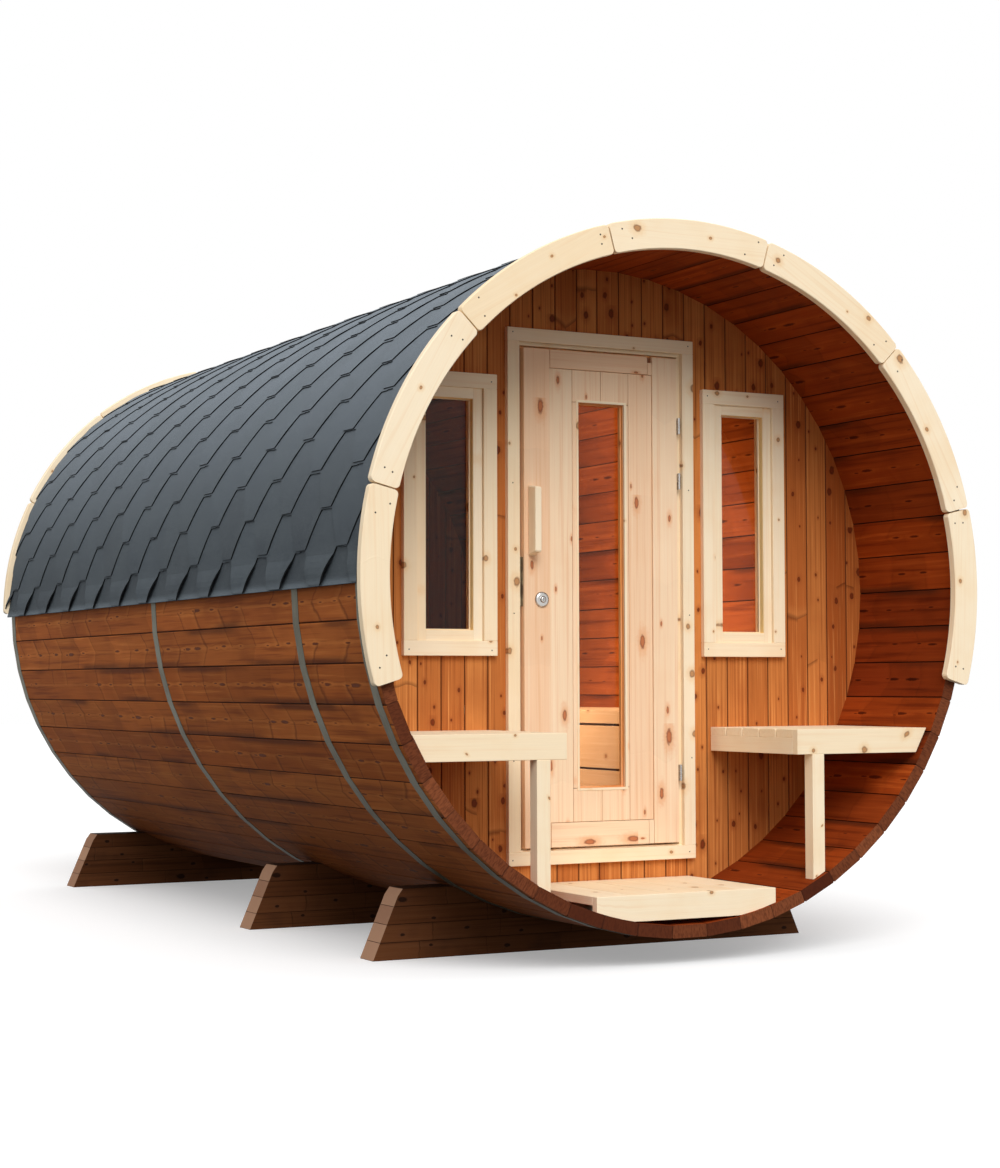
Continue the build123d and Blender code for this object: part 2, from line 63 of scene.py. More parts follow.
# Studio: a wide pale floor under an even white world, with one broad soft lamp from the front left.
# The floor is white to the camera except where the sauna shades it. A warm lamp lights the room inside.
class Flow:
    """A socket in a material's tree; arithmetic on it adds Math nodes."""

    def __init__(self, tree, socket=None):
        self.tree = tree
        self.socket = socket

    def node(self, kind, settings, sockets, output=0):
        """A node of a kind: its settings first, then the values or links of its sockets."""
        made = self.tree.nodes.new("ShaderNode" + kind)
        for name, value in settings.items():
            setattr(made, name, value)
        self.feed(made, sockets)
        return Flow(self.tree, made.outputs[output])

    def feed(self, node, sockets):
        """Links or sets each of a node's sockets that is named."""
        for key, value in sockets.items():
            if isinstance(value, Flow):
                self.tree.links.new(value.socket, node.inputs[key])
            else:
                node.inputs[key].default_value = value

    def maths(self, operation, *others):
        """This value, and any others after it, through a Math node."""
        return self.node("Math", {"operation": operation}, dict(enumerate((self, *others))))

    __add__ = __radd__ = partialmethod(maths, "ADD")
    __sub__ = partialmethod(maths, "SUBTRACT")
    __mul__ = __rmul__ = partialmethod(maths, "MULTIPLY")
    __truediv__ = partialmethod(maths, "DIVIDE")
    __pow__ = partialmethod(maths, "POWER")
    __abs__ = partialmethod(maths, "ABSOLUTE")

    def __rsub__(self, other):
        return self.node("Math", {"operation": "SUBTRACT"}, {0: other, 1: self})

    def step(self, edge):
        """1 where the value is above the edge, else 0."""
        return self.maths("GREATER_THAN", edge)

    def ease(self, start, stop, low=0.0, high=1.0):
        """Smooth step that goes from low to high as the value goes from start to stop."""
        return self.node("MapRange", {"interpolation_type": "SMOOTHSTEP"},
                         {0: self, 1: start, 2: stop, 3: low, 4: high})

    def vector(self, x, y, z):
        return self.node("CombineXYZ", {}, {0: x, 1: y, 2: z})

    def part(self, axis):
        return self.node("SeparateXYZ", {}, {0: self}, axis)

    def parts(self):
        return [self.part(axis) for axis in "XYZ"]

    def noise(self, scale, detail=2.0, roughness=0.5):
        """Noise at this vector."""
        return self.node("TexNoise", {}, {"Vector": self, "Scale": scale, "Detail": detail,
                                          "Roughness": roughness})

    def mix(self, factor, first, second, kind="MIX"):
        """Colour between two colours."""
        return self.node("Mix", {"data_type": "RGBA", "blend_type": kind}, {0: factor, 6: first, 7: second}, 2)

    def layers(self, colour, *coats):
        """A colour with coats over it, each a share and the coat's own colour."""
        for share, coat in coats:
            colour = self.mix(share, colour, coat)
        return colour

    def place(self):
        """Place in the object's own coordinates."""
        return self.node("TexCoord", {}, {}, "Object")

    def mark(self, name):
        """Vector that the mesh's points carry under a name."""
        return self.node("Attribute", {"attribute_name": name}, {}, "Vector")

    def chance(self):
        """Three random shares, as a colour, drawn from this number."""
        return self.node("TexWhiteNoise", {"noise_dimensions": "1D"}, {"W": self}, 1)

    def board_row(self, width):
        """For boards side by side: this count's whole number, and the place across its board."""
        number = self.maths("FLOOR")
        return number, (self - number - 0.5) * width


def paint(red, green, blue):
    """Colour written as 0 to 255 display values."""
    display = np.array((red, green, blue)) / 255
    linear = np.where(display > 0.04045, ((display + 0.055) / 1.055) ** 2.4, display / 12.92)
    return (*linear.tolist(), 1.0)


def new_finish(name):
    """A material and a Flow in its tree."""
    material = bpy.data.materials.new(name)
    material.use_nodes = True
    return material, Flow(material.node_tree)


def surface(flow, colour, roughness, height=None, relief=0.0, **fixed):
    """Feeds the shader with the colour, the roughness and a height in a Bump node."""
    shader = flow.tree.nodes["Principled BSDF"]
    feeds = {"Base Color": colour, "Roughness": roughness}
    if height is not None:
        feeds["Normal"] = flow.node("Bump", {}, {"Distance": relief, "Height": height})
    for name, value in fixed.items():
        feeds[name.replace("_", " ")] = value
    flow.feed(shader, feeds)


def dress(finish, *names):
    """Gives CAD pieces a material."""
    for name in names:
        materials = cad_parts[name].data.materials
        materials.clear()
        materials.append(finish)


def backdrop_rays(flow):
    """1 for rays that see the backdrop: the camera's own, and those mirrored or sent through glass."""
    rays = flow.node("LightPath", {}, {}, "Is Camera Ray")
    for kind in ("Is Glossy Ray", "Is Transmission Ray"):
        rays = rays.maths("MAXIMUM", flow.node("LightPath", {}, {}, kind))
    return rays


world = bpy.data.worlds.new("white studio")
world.use_nodes = True
scene.world = world
studio = Flow(world.node_tree)
world_light = 0.76
backdrop = world.node_tree.nodes["Background"]
backdrop.inputs["Color"].default_value = (1.0, 1.0, 1.0, 1.0)
world.node_tree.links.new((backdrop_rays(studio) * (1.0 - world_light) + world_light).socket,
                          backdrop.inputs["Strength"])

floor_mesh = bpy.data.meshes.new("studio_floor")
floor_half = 40.0
floor_mesh.from_pydata([(-floor_half, -floor_half, 0), (floor_half, -floor_half, 0),
                        (floor_half, floor_half, 0), (-floor_half, floor_half, 0)], [], [(0, 1, 2, 3)])
floor = bpy.data.objects.new("studio_floor", floor_mesh)
scene.collection.objects.link(floor)
floor_finish, flow = new_finish("studio floor")
shown = backdrop_rays(flow)
surface(flow, flow.mix(shown, (0.14, 0.14, 0.14, 1), (0.76, 0.76, 0.76, 1)), 0.95,
        Emission_Color=flow.mix(shown, (0.0, 0.0, 0.0, 1), (0.3, 0.3, 0.3, 1)), Emission_Strength=1.0,
        Specular_IOR_Level=0.0)
floor_mesh.materials.append(floor_finish)


def add_lamp(name, kind, energy, turned, **light):
    """Lamp with its turn in degrees and its light's own settings."""
    made = bpy.data.objects.new(name, bpy.data.lights.new(name, kind))
    made.data.energy = energy
    for setting, value in light.items():
        setattr(made.data, setting, value)
    made.rotation_euler = [math.radians(angle) for angle in turned]
    scene.collection.objects.link(made)
    return made


add_lamp("broad_lamp", "SUN", 2.15, (50, 0, -18), angle=math.radians(35))
room_lamp = add_lamp("room_lamp", "AREA", 19, (0, -66, 0), size=0.25, spread=math.radians(84))
room_lamp.location = (-0.72, -0.15, 1.8)
room_lamp.visible_camera = room_lamp.visible_glossy = room_lamp.visible_transmission = False


# Staves: 54 heat-treated softwood boards, bevelled and laid side by side into a barrel.
# Each is one board from end to end, oiled brown outside and redder under the porch.
axis_height = 1.183
barrel_radius = 1.1
stave_count = 54
stave_angle = 360 / stave_count
first_joint = -90 - stave_angle / 2


def grown_wood(flow, along, across, depth, seeds, look):
    """Colour, roughness and height of sawn softwood.

    Streaks run along the board. Knots stand one to a cell along it, each a dark oval with a darker rim and a
    halo. A pair of rails runs beside its middle. Branches cut lengthwise are thin dark lines that lean away
    from the middle, and the wood between two of them has a tone of its own.
    """
    def cell(where, randomness, output, feature="F1"):
        return flow.node("TexVoronoi", {"voronoi_dimensions": "1D", "feature": feature},
                         {"W": where, "Scale": 1.0, "Randomness": randomness}, output)

    first, second, tone = seeds.parts()
    place = flow.vector(along + first * 31.7, across, depth + second * 5.3)
    slow = flow.vector(place.part("X") * 1.1, across * 5.0, depth * 5.0).noise(1.0, 2.0)
    row = along / look["knot_gap"] + first * 47.3
    chance = cell(row, 0.9, "Color")
    off_along = (row - cell(row, 0.9, "W")) * look["knot_gap"] / look["knot_long"]
    off_across = across - (chance.part("Y") - 0.5) * look["knot_spread"]
    size = chance.part("X")
    radius = (size * size * 0.9 + 0.3) * look["knot_radius"]
    rough_edge = (place.noise(90.0, 2.0) - 0.5) * 0.7 + 1.0
    reach = ((off_along * off_along + off_across * off_across) ** 0.5) * rough_edge / radius
    present = chance.part("Z").step(1.0 - look["knot_share"])
    knot = reach.ease(1.2, 0.8) * present
    rim = reach.ease(1.7, 1.05) * reach.ease(0.7, 1.0) * present
    halo = reach.ease(4.5, 1.0) * present

    near = abs(off_along).ease(look["knot_radius"] * 1.8, 0.0) * present
    middle = abs(across + (slow - 0.5) * 0.012)
    rail_place = near * 0.004 + 0.006
    rail = abs(middle - rail_place).ease(0.0032, 0.0006) * place.noise(9.0, 2.0).ease(0.4, 0.6)
    between = (rail_place - middle).ease(-0.002, 0.003)

    lean = abs(across) * ((first - 0.5) * look["branch_lean"])
    bend = (place.noise(14.0, 2.0) - 0.5) * look["branch_bend"]
    spot = (along + lean + bend) / look["branch_gap"] + second * 53.9
    patch = cell(spot, 0.95, "Color")
    after = (cell(spot, 0.95, "W") - spot).step(0.0)
    border = cell(spot, 0.95, "Distance", "DISTANCE_TO_EDGE") * look["branch_gap"]
    upper = across.step(0.0)
    cut = upper * patch.part("X").step(0.5) + (1.0 - upper) * patch.part("Y").step(0.5)
    branch = border.ease(look["branch_width"], 0.0) * cut
    glow = border.ease(look["branch_width"] * 3.5, look["branch_width"] * 0.3) * cut

    streak_count = look["streak_count"]
    fibre = flow.vector(place.part("X") * 6.0, across * 420.0, depth * 420.0).noise(1.0, 2.0)
    streak = flow.vector(place.part("X") * 1.6, across * streak_count, depth * streak_count).noise(1.0, 3.0, 0.6)
    blotch = place.noise(look["blotch_scale"], 3.0, 0.6)

    colour = flow.layers(
        flow.mix(tone * look["tone_strength"], look["base"], look["toned"], "MULTIPLY"),
        (blotch.ease(0.45, 0.75) * look["blotch_strength"], look["blotch"]),
        (streak.ease(0.5, 0.7) * look["streak"], look["dark"]),
        (streak.ease(0.46, 0.28) * look["streak"] * 0.7, look["light"]),
        (halo * look["halo_strength"], look["halo"]),
        (glow * after * look["branch_strength"] * 0.4, look["light"]),
        (between * look["rail"] * 0.7, look["light"]),
        (rail * look["rail"], look["dark"]),
        (branch * look["branch_strength"], look["rim"]),
        (knot * look["knot_strength"], look["knot"]),
        (rim * look["knot_strength"] * 0.8, look["rim"]))
    lightness = ((fibre - 0.5) * look["fibre"] + 1.0) * ((patch.part("Z") - 0.5) * look["patch"] + 1.0)
    colour = flow.mix(1.0, colour, flow.vector(lightness, lightness, lightness), "MULTIPLY")
    roughness = look["roughness"] - knot * 0.12
    height = fibre * 0.35 + knot * 0.5 - branch * 0.6
    return colour, roughness, height


stave_look = dict(
    base=paint(184, 106, 51), dark=paint(114, 55, 25), light=paint(204, 126, 64), toned=paint(206, 188, 172),
    tone_strength=0.9, knot_gap=0.11, knot_long=5.5, knot_spread=0.01, knot_radius=0.0045, knot_share=0.7,
    knot=paint(80, 32, 12), rim=paint(82, 36, 16), halo=paint(190, 112, 54), halo_strength=0.4,
    knot_strength=0.9, rail=0.4, branch_gap=0.2, branch_lean=2.4, branch_bend=0.05, branch_width=0.016,
    branch_strength=0.55, patch=0.24, blotch=paint(116, 57, 27), blotch_scale=3.0, blotch_strength=0.45,
    streak=0.7, streak_count=48.0, fibre=0.3, roughness=0.72)

stave_finish, flow = new_finish("oiled stave timber")
place = flow.place()
x, y, z = place.parts()
rise = z - axis_height
radius = (x * x + rise * rise) ** 0.5
turn = rise.maths("ARCTAN2", x) * (180 / math.pi)
number, across = ((turn - first_joint) / stave_angle).board_row(math.radians(stave_angle) * barrel_radius)
seeds = number.chance()
inside = radius.ease(1.078, 1.072)
figure = 1.0 - inside * 0.8
colour, roughness, height = grown_wood(
    flow, y, across, radius - barrel_radius, seeds,
    dict(stave_look, branch_strength=figure * stave_look["branch_strength"], rail=figure * stave_look["rail"]))
porch_tint = flow.mix(seeds.part("Z"), paint(172, 124, 108), paint(255, 204, 164))
tint = flow.mix(y.ease(-1.3, -1.28), porch_tint, paint(214, 196, 180))
strips = flow.vector(y * 1.1, number * 7.3 + across.step(0.0) * 3.7, 0.0).noise(1.0, 2.0)
dark_edge = abs(across).ease(0.034, 0.056) * strips.ease(0.5, 0.6)
# Painted shade: the outside of the staves darkens towards the bottom, where the barrel's belly is shaded.
belly_shade = z.ease(0.8, 0.1) * (1.0 - inside) * 0.6
ends = abs(y).ease(1.825, 1.8255)
rays = flow.vector(across * 220.0, radius * 60.0, number * 3.7).noise(1.0, 2.0)
end_grain = flow.mix(seeds.part("X"), paint(78, 36, 20), paint(136, 76, 46))
seam = abs(across).ease(0.0605, 0.0638)
colour = flow.layers(
    colour,
    (inside, flow.mix(1.0, colour, tint, "MULTIPLY")),
    (dark_edge * 0.75, paint(70, 32, 16)),
    (belly_shade, paint(30, 14, 8)),
    (ends, flow.mix(rays.ease(0.4, 0.65) * 0.5, end_grain, paint(66, 30, 18))),
    (seam * (1.0 - ends * 0.5), paint(28, 13, 8)))
surface(flow, colour, roughness, height - seam * 1.5, 0.0006, Specular_IOR_Level=0.06)
dress(stave_finish, *(f"staves_{i}" for i in range(1, 10)))


# Hoops: flat galvanised bands drawn tight round the barrel, dull and a little stained.
# They are the CAD pieces with a brushed finish that follows the band.
hoop_finish, flow = new_finish("dull hoop steel")
place = flow.place()
x, y, z = place.parts()
brush = flow.vector(x * 3.0, y * 500.0, z * 3.0).noise(1.0, 2.0)
stain = place.noise(7.0, 4.0, 0.65)
# Painted shade: the bands darken towards the bottom, under the barrel's belly.
hoop_belly_shade = z.ease(1.0, 0.15) * 0.75
colour = flow.layers(
    paint(98, 97, 82), (stain.ease(0.4, 0.7), paint(78, 72, 58)),
    (brush.ease(0.35, 0.7) * 0.4, paint(116, 114, 98)), (hoop_belly_shade, paint(40, 36, 28)))
surface(flow, colour, stain * 0.2 + 0.42, brush, 0.0002, Metallic=0.3, Specular_IOR_Level=0.2)
dress(hoop_finish, "steel_hoops")


# Nails: small dark round heads beside the hoops here, and later in the front trim and the casings.
# Each is a low dome of three rings, all heads of one place joined into one mesh.
def add_piece(name, points, faces, material, body, marks=None, smooth=False):
    """Object made of point and face arrays, with named marks as attributes of its points."""
    mesh = bpy.data.meshes.new(name)
    faces = faces if isinstance(faces, list) else faces.tolist()
    mesh.from_pydata(np.asarray(points, float).reshape(-1, 3).tolist(), [], faces)
    for label, values in (marks or {}).items():
        attribute = mesh.attributes.new(label, "FLOAT_VECTOR", "POINT")
        attribute.data.foreach_set("vector", np.asarray(values, np.float32).ravel())
    if smooth:
        mesh.polygons.foreach_set("use_smooth", np.ones(len(faces), bool))
    mesh.materials.append(material)
    piece = bpy.data.objects.new(name, mesh)
    scene.collection.objects.link(piece)
    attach(piece, body)
    return piece


def grid_faces(count, rows, columns):
    """Quads of a number of separate grids, each with its points in row order."""
    corner = (np.arange(count)[:, None, None] * rows * columns
              + np.arange(rows - 1)[None, :, None] * columns + np.arange(columns - 1)[None, None, :])
    quads = np.stack([corner, corner + 1, corner + columns + 1, corner + columns], -1)
    return quads.reshape(-1, 4)


def tube_faces(count, stations, ring):
    """Quads round a number of closed rings of points carried through stations, and a cap at each end."""
    start = (np.arange(count)[:, None, None] * stations + np.arange(stations - 1)[None, :, None]) * ring
    j = np.arange(ring)
    k = (j + 1) % ring
    quads = np.stack([start + j, start + k, start + ring + k, start + ring + j], -1).reshape(-1, 4)
    first = np.arange(count)[:, None] * stations * ring
    return quads, np.concatenate([first + j[::-1], first + (stations - 1) * ring + j]).tolist()


def nail_heads(name, centres, outward, radius):
    """Domes whose rings of eight points stand round each centre, the inner rings risen outward."""
    outward = np.broadcast_to(outward, centres.shape)
    side = np.cross(outward, np.roll(outward, 1, axis=1))
    side /= np.linalg.norm(side, axis=1, keepdims=True)
    up = np.cross(outward, side)
    turn = np.radians(np.arange(8) * 45.0)
    spoke = np.cos(turn)[None, :, None] * side[:, None, :] + np.sin(turn)[None, :, None] * up[:, None, :]
    wide = radius * np.array([1.0, 0.9, 0.3])
    risen = radius * np.array([-0.5, 0.1, 0.16])
    points = (centres[:, None, None, :] + wide[None, :, None, None] * spoke[:, None, :, :]
              + risen[None, :, None, None] * outward[:, None, None, :])
    quads, caps = tube_faces(len(centres), len(wide), len(turn))
    return add_piece(name, points, quads.tolist() + caps, dark_finish, "sauna")


dark_finish, flow = new_finish("dark steel")
place = flow.place()
scuff = place.noise(90.0, 4.0)
surface(flow, flow.mix(scuff, paint(46, 40, 34), paint(80, 72, 62)), scuff * 0.2 + 0.4, scuff, 0.0001,
        Metallic=0.6)
nailed_hoops = (-1.778, -1.301, -0.004)
nail_beside_hoop, nail_sunk = 0.03, 0.0024
nail_count = stave_count * len(nailed_hoops)
nail_rng = np.random.default_rng(5)
stave_joints = np.radians(first_joint + stave_angle * np.arange(stave_count))
nail_angle = np.tile(stave_joints, len(nailed_hoops)) + nail_rng.uniform(-0.008, 0.008, nail_count)
nail_y = np.repeat([y + nail_beside_hoop for y in nailed_hoops], stave_count)
nail_y = nail_y + nail_rng.uniform(-0.003, 0.006, nail_count)
nail_outward = np.stack([np.cos(nail_angle), 0 * nail_angle, np.sin(nail_angle)], -1)
nail_places = (nail_outward * (barrel_radius - nail_sunk) + np.array([0, 0, axis_height])
               + nail_y[:, None] * np.array([0, 1, 0]))
under_roof = np.sin(nail_angle) < -0.03
nail_heads("hoop_nails", nail_places[under_roof], nail_outward[under_roof], 0.0035)


# Cradles: three ground beams, each four dark planks laid on edge and sawn to the barrel's curve.
# The CAD beams stay; the finish draws the planks, their joints and the paler sawn ends.
plank_height = 0.0557
cradle_look = dict(
    base=paint(112, 68, 40), dark=paint(68, 38, 22), light=paint(116, 74, 46), toned=paint(196, 182, 170),
    tone_strength=0.8, knot_gap=0.22, knot_long=1.8, knot_spread=0.03, knot_radius=0.009, knot_share=0.6,
    knot=paint(38, 20, 12), rim=paint(24, 13, 8), halo=paint(104, 64, 42), halo_strength=0.4, knot_strength=0.9,
    rail=0.0, branch_gap=0.3, branch_lean=0.5, branch_bend=0.03, branch_width=0.004, branch_strength=0.5,
    patch=0.3, blotch=paint(70, 42, 28), blotch_scale=5.0, blotch_strength=0.6, streak=0.6, streak_count=90.0,
    fibre=0.5, roughness=0.75)
cradle_finish, flow = new_finish("dark cradle timber")
place = flow.place()
x, y, z = place.parts()
number, across = (z / plank_height).board_row(plank_height)
seeds = (number + (y * 0.7).maths("FLOOR") * 7.0).chance()
colour, roughness, height = grown_wood(flow, x, across, y, seeds, cradle_look)
raked = abs(flow.node("NewGeometry", {}, {}, "Normal").part("X")).ease(0.7, 0.8)
seam = abs(across).ease(0.0265, 0.0278)
colour = flow.layers(
    colour, (raked, flow.mix(seeds.part("Y"), paint(150, 110, 86), paint(184, 144, 116))),
    (seam * 0.8, paint(26, 14, 9)))
surface(flow, colour, roughness, height - seam * 2.0, 0.0009, Specular_IOR_Level=0.06)
dress(cradle_finish, "cradle_front", "cradle_middle", "cradle_back")


# Roof: bitumen shingles with slate-grey grit, nailed in courses from the eaves to the ridge.
# Each tab is a hexagon below the next course, and the lowest ones curl off the boards.
course_count, course_rise, first_course = 14, 0.1245, -0.03
tab_pitch, tab_height, tab_columns = 0.31, 0.125, 7
roof_front, roof_back = -1.825, 1.825
eaves, roof_radius, highest_radius = -0.022, 1.108, 1.1305
sheet_thickness, sheet_low, sheet_fall, sheet_length = 0.0045, 1.105, 0.0075, 0.25
flare_reach, flare_depth, swell_height = 0.09, 0.014, 0.104
ridge_top, ridge_fall, under_sheet = 1.1205, 0.004, 1.1052
roof_points, roof_faces, roof_marks = [], [], []


def drop_thin_faces(points, faces):
    """Faces without those whose diagonals' cross product is nearly nothing."""
    corners = np.asarray(points).reshape(-1, 3)[faces]
    area = np.cross(corners[:, 2] - corners[:, 0], corners[:, 3] - corners[:, 1])
    return faces[np.linalg.norm(area, axis=1) > 1e-8]


def eaves_flare(arc):
    """Outward bend near the eaves, growing with the square of the nearness to them."""
    return flare_depth * np.maximum(0, 1 - (arc - eaves) / flare_reach) ** 2


def shingle_sheets(centre, bottom, rows, half_width, lift, seed, side):
    """Points of sheets laid on the barrel.

    Along a sheet's height t the radius falls from its lower edge to its upper one, plus a lift that swells in
    the lowest part, plus the flare at the eaves. The arc above the eaves becomes an angle about the axis.
    """
    spread = np.linspace(-1, 1, tab_columns)
    t = np.broadcast_to(rows[None, :, None], (len(centre), len(rows), len(spread)))
    y = centre[:, None, None] + half_width[None, :, None] * spread
    y = np.clip(y, roof_front, roof_back)
    arc = np.maximum(bottom[:, None, None] + t, eaves)
    swell = lift[:, None, None] * np.sin(math.pi * np.clip(t / swell_height, 0, 1))
    sheet_radius = sheet_low + sheet_fall * (1 - t / sheet_length) + swell + eaves_flare(arc)
    sheet_radius = np.minimum(sheet_radius, highest_radius)
    angle = arc / roof_radius
    x = side * sheet_radius * np.cos(angle)
    z = axis_height + sheet_radius * np.sin(angle)
    across = np.broadcast_to(spread, t.shape)
    marks = np.stack([across, t, np.broadcast_to(seed[:, None, None], t.shape)], -1)
    return np.stack([x, y, z], -1), marks


def lay(points, faces, marks):
    """Adds a sheet's points, faces and marks to the roof's."""
    roof_faces.append(faces + sum(len(laid) for laid in roof_points))
    roof_points.append(points.reshape(-1, 3))
    roof_marks.append(np.broadcast_to(marks, points.shape).reshape(-1, 3))


shingle_rng = np.random.default_rng(4)
tab_rows = np.array([0.0, 0.012, 0.026, 0.042, 0.06, 0.08, 0.1, tab_height])
band_rows = np.array([0.119, 0.165, 0.21, 0.252])
for side in (-1, 1):
    for course in range(course_count):
        phase = 0.5 if course % 2 == 0 else 0.0
        slip = shingle_rng.uniform(-0.008, 0.008)
        centres = -1.679 + slip + (np.arange(-1, 13) + phase) * tab_pitch
        bottoms = (np.full(len(centres), first_course + course * course_rise)
                   + shingle_rng.uniform(-0.002, 0.002, len(centres)))
        lift = shingle_rng.uniform(*((0.0, 0.0012) if course else (0.009, 0.013)), len(centres))
        seeds = shingle_rng.uniform(0, 1, len(centres))
        for rows, widths in ((tab_rows, 0.037 + 0.082 * tab_rows / tab_height),
                             (band_rows, np.full(len(band_rows), tab_pitch / 2))):
            points, marks = shingle_sheets(centres, bottoms, rows, widths, lift, seeds, side)
            faces = grid_faces(len(centres), len(rows), tab_columns)[:, ::side]
            lay(points, drop_thin_faces(points, faces), marks)

ridge_length, ridge_lap = 0.2, 0.03
ridge_count = int(round((roof_back - roof_front) / ridge_length))
ridge_y = np.linspace(roof_front, roof_back, ridge_count + 1)
ridge_rows = np.array([0.0, 0.5, 1.0])
ridge_columns, ridge_half_width = 13, 0.15
ridge_angle = np.radians(90) + np.linspace(-1, 1, ridge_columns) * ridge_half_width / roof_radius
along = ridge_y[:-1, None, None] + ridge_rows[None, :, None] * (ridge_length + ridge_lap)
along = np.minimum(along, roof_back) + np.zeros((1, 1, ridge_columns))
ridge_radius = ridge_top - ridge_fall * ridge_rows[None, :, None] + np.zeros_like(along)
points = np.stack([ridge_radius * np.cos(ridge_angle), along,
                   axis_height + ridge_radius * np.sin(ridge_angle)], -1)
marks = np.stack([np.broadcast_to(np.linspace(-1, 1, ridge_columns), along.shape),
                  np.broadcast_to(ridge_rows[None, :, None] * 0.12, along.shape),
                  np.broadcast_to(shingle_rng.uniform(0, 1, ridge_count)[:, None, None], along.shape)], -1)
lay(points, drop_thin_faces(points, grid_faces(ridge_count, len(ridge_rows), ridge_columns)[:, ::-1]), marks)

fine = np.concatenate([np.linspace(eaves, 0.1, 9), np.linspace(0.1, roof_radius * math.pi / 2, 30)[1:]])
under_angle = np.concatenate([fine, roof_radius * math.pi - fine[-2::-1]]) / roof_radius
under_radius = under_sheet + eaves_flare(np.concatenate([fine, fine[-2::-1]]))
under_y = np.array([roof_front, 0.0, roof_back])
under = np.stack(np.broadcast_arrays((under_radius * np.cos(under_angle))[None, :], under_y[:, None],
                                     axis_height + (under_radius * np.sin(under_angle))[None, :]), -1)
lay(under, grid_faces(1, len(under_y), len(under_angle))[:, ::-1], 0.05)

shingle_finish, flow = new_finish("slate grit shingle")
place = flow.place()
tab = flow.mark("tab")
grit = place.noise(900.0, 2.0, 0.7)
speck = place.noise(260.0, 2.0, 0.6)
cloud = place.noise(5.0, 3.0, 0.6)
x, y, z = place.parts()
# Painted highlight: the flared eaves below the axis are paler, where they face the sky.
eaves_highlight = z.ease(axis_height + 0.006, axis_height - 0.02)
facing = flow.node("NewGeometry", {}, {}, "Normal")
rise = z - axis_height
radius = (x * x + rise * rise) ** 0.5
outward = abs((facing.part("X") * x + facing.part("Z") * rise) / radius)
colour = flow.layers(
    flow.mix(tab.part("Z"), paint(49, 55, 61), paint(61, 69, 76)),
    # Painted light: the courses grow paler towards the ridge, where the sky lights them.
    (z.ease(1.15, 2.35), paint(132, 141, 150)),
    (cloud.ease(0.35, 0.7) * 0.25, paint(88, 96, 100)),
    (eaves_highlight * 0.6, paint(112, 122, 130)),
    (grit.ease(0.5, 0.72) * 0.55, paint(138, 148, 152)),
    (grit.ease(0.5, 0.3) * 0.6, paint(38, 44, 50)),
    (speck.ease(0.56, 0.7) * 0.3, paint(48, 54, 60)),
    (outward.ease(0.8, 0.5), paint(14, 16, 18)))
surface(flow, colour, 0.86, grit + speck * 0.5, 0.0009, Specular_IOR_Level=0.2)
shingles = add_piece("shingle_courses", np.concatenate(roof_points), np.concatenate(roof_faces).astype(int),
                     shingle_finish, "sauna", {"tab": np.concatenate(roof_marks)})
thickness = shingles.modifiers.new("sheet thickness", "SOLIDIFY")
thickness.thickness = sheet_thickness
thickness.offset = -1
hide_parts("roof_shingles")


# Trim: seven pale spruce boards a side, band-sawn to an arc and screwed over the stave ends.
# The joints between them gape a little, and each board sits a shade differently.
trim_count = 7
trim_inner, trim_outer = 1.037, 1.131
trim_middle = (trim_inner + trim_outer) / 2
trim_thickness = 0.028
trim_corner = 0.014
trim_gap = (0.0016, 0.0034)
nail_face = 0.0006
trim_bevel = 0.0022


def board_finish(name, look, groove=None):
    """Sawn-wood material for pieces whose points carry grain and board attributes."""
    material, flow = new_finish(name)
    along, across, depth = flow.mark("grain").parts()
    colour, roughness, height = grown_wood(flow, along, across, depth, flow.mark("board"), look)
    if groove is not None:
        deep = depth.ease(0.0002, 0.0024) * depth.ease(0.03, 0.02)
        colour = flow.mix(deep * 0.85, colour, groove)
    surface(flow, colour, roughness, height, look["relief"], Specular_IOR_Level=0.1)
    return material


spruce_look = dict(
    base=paint(252, 234, 204), dark=paint(240, 202, 156), light=paint(255, 238, 210),
    toned=paint(252, 244, 232), tone_strength=0.8, knot_gap=0.19, knot_long=1.2, knot_spread=0.075,
    knot_radius=0.0078, knot_share=0.55, knot=paint(182, 126, 76), rim=paint(126, 76, 44),
    halo=paint(238, 194, 138), halo_strength=0.5, knot_strength=0.85, rail=0.0, branch_gap=1.7, branch_lean=0.8,
    branch_bend=0.02, branch_width=0.004, branch_strength=0.0, patch=0.02, blotch=paint(244, 212, 168),
    blotch_scale=4.0, blotch_strength=0.4, streak=0.3, streak_count=90.0, fibre=0.08, roughness=0.62,
    relief=0.0004)
spruce_finish = board_finish("planed pale spruce", spruce_look)


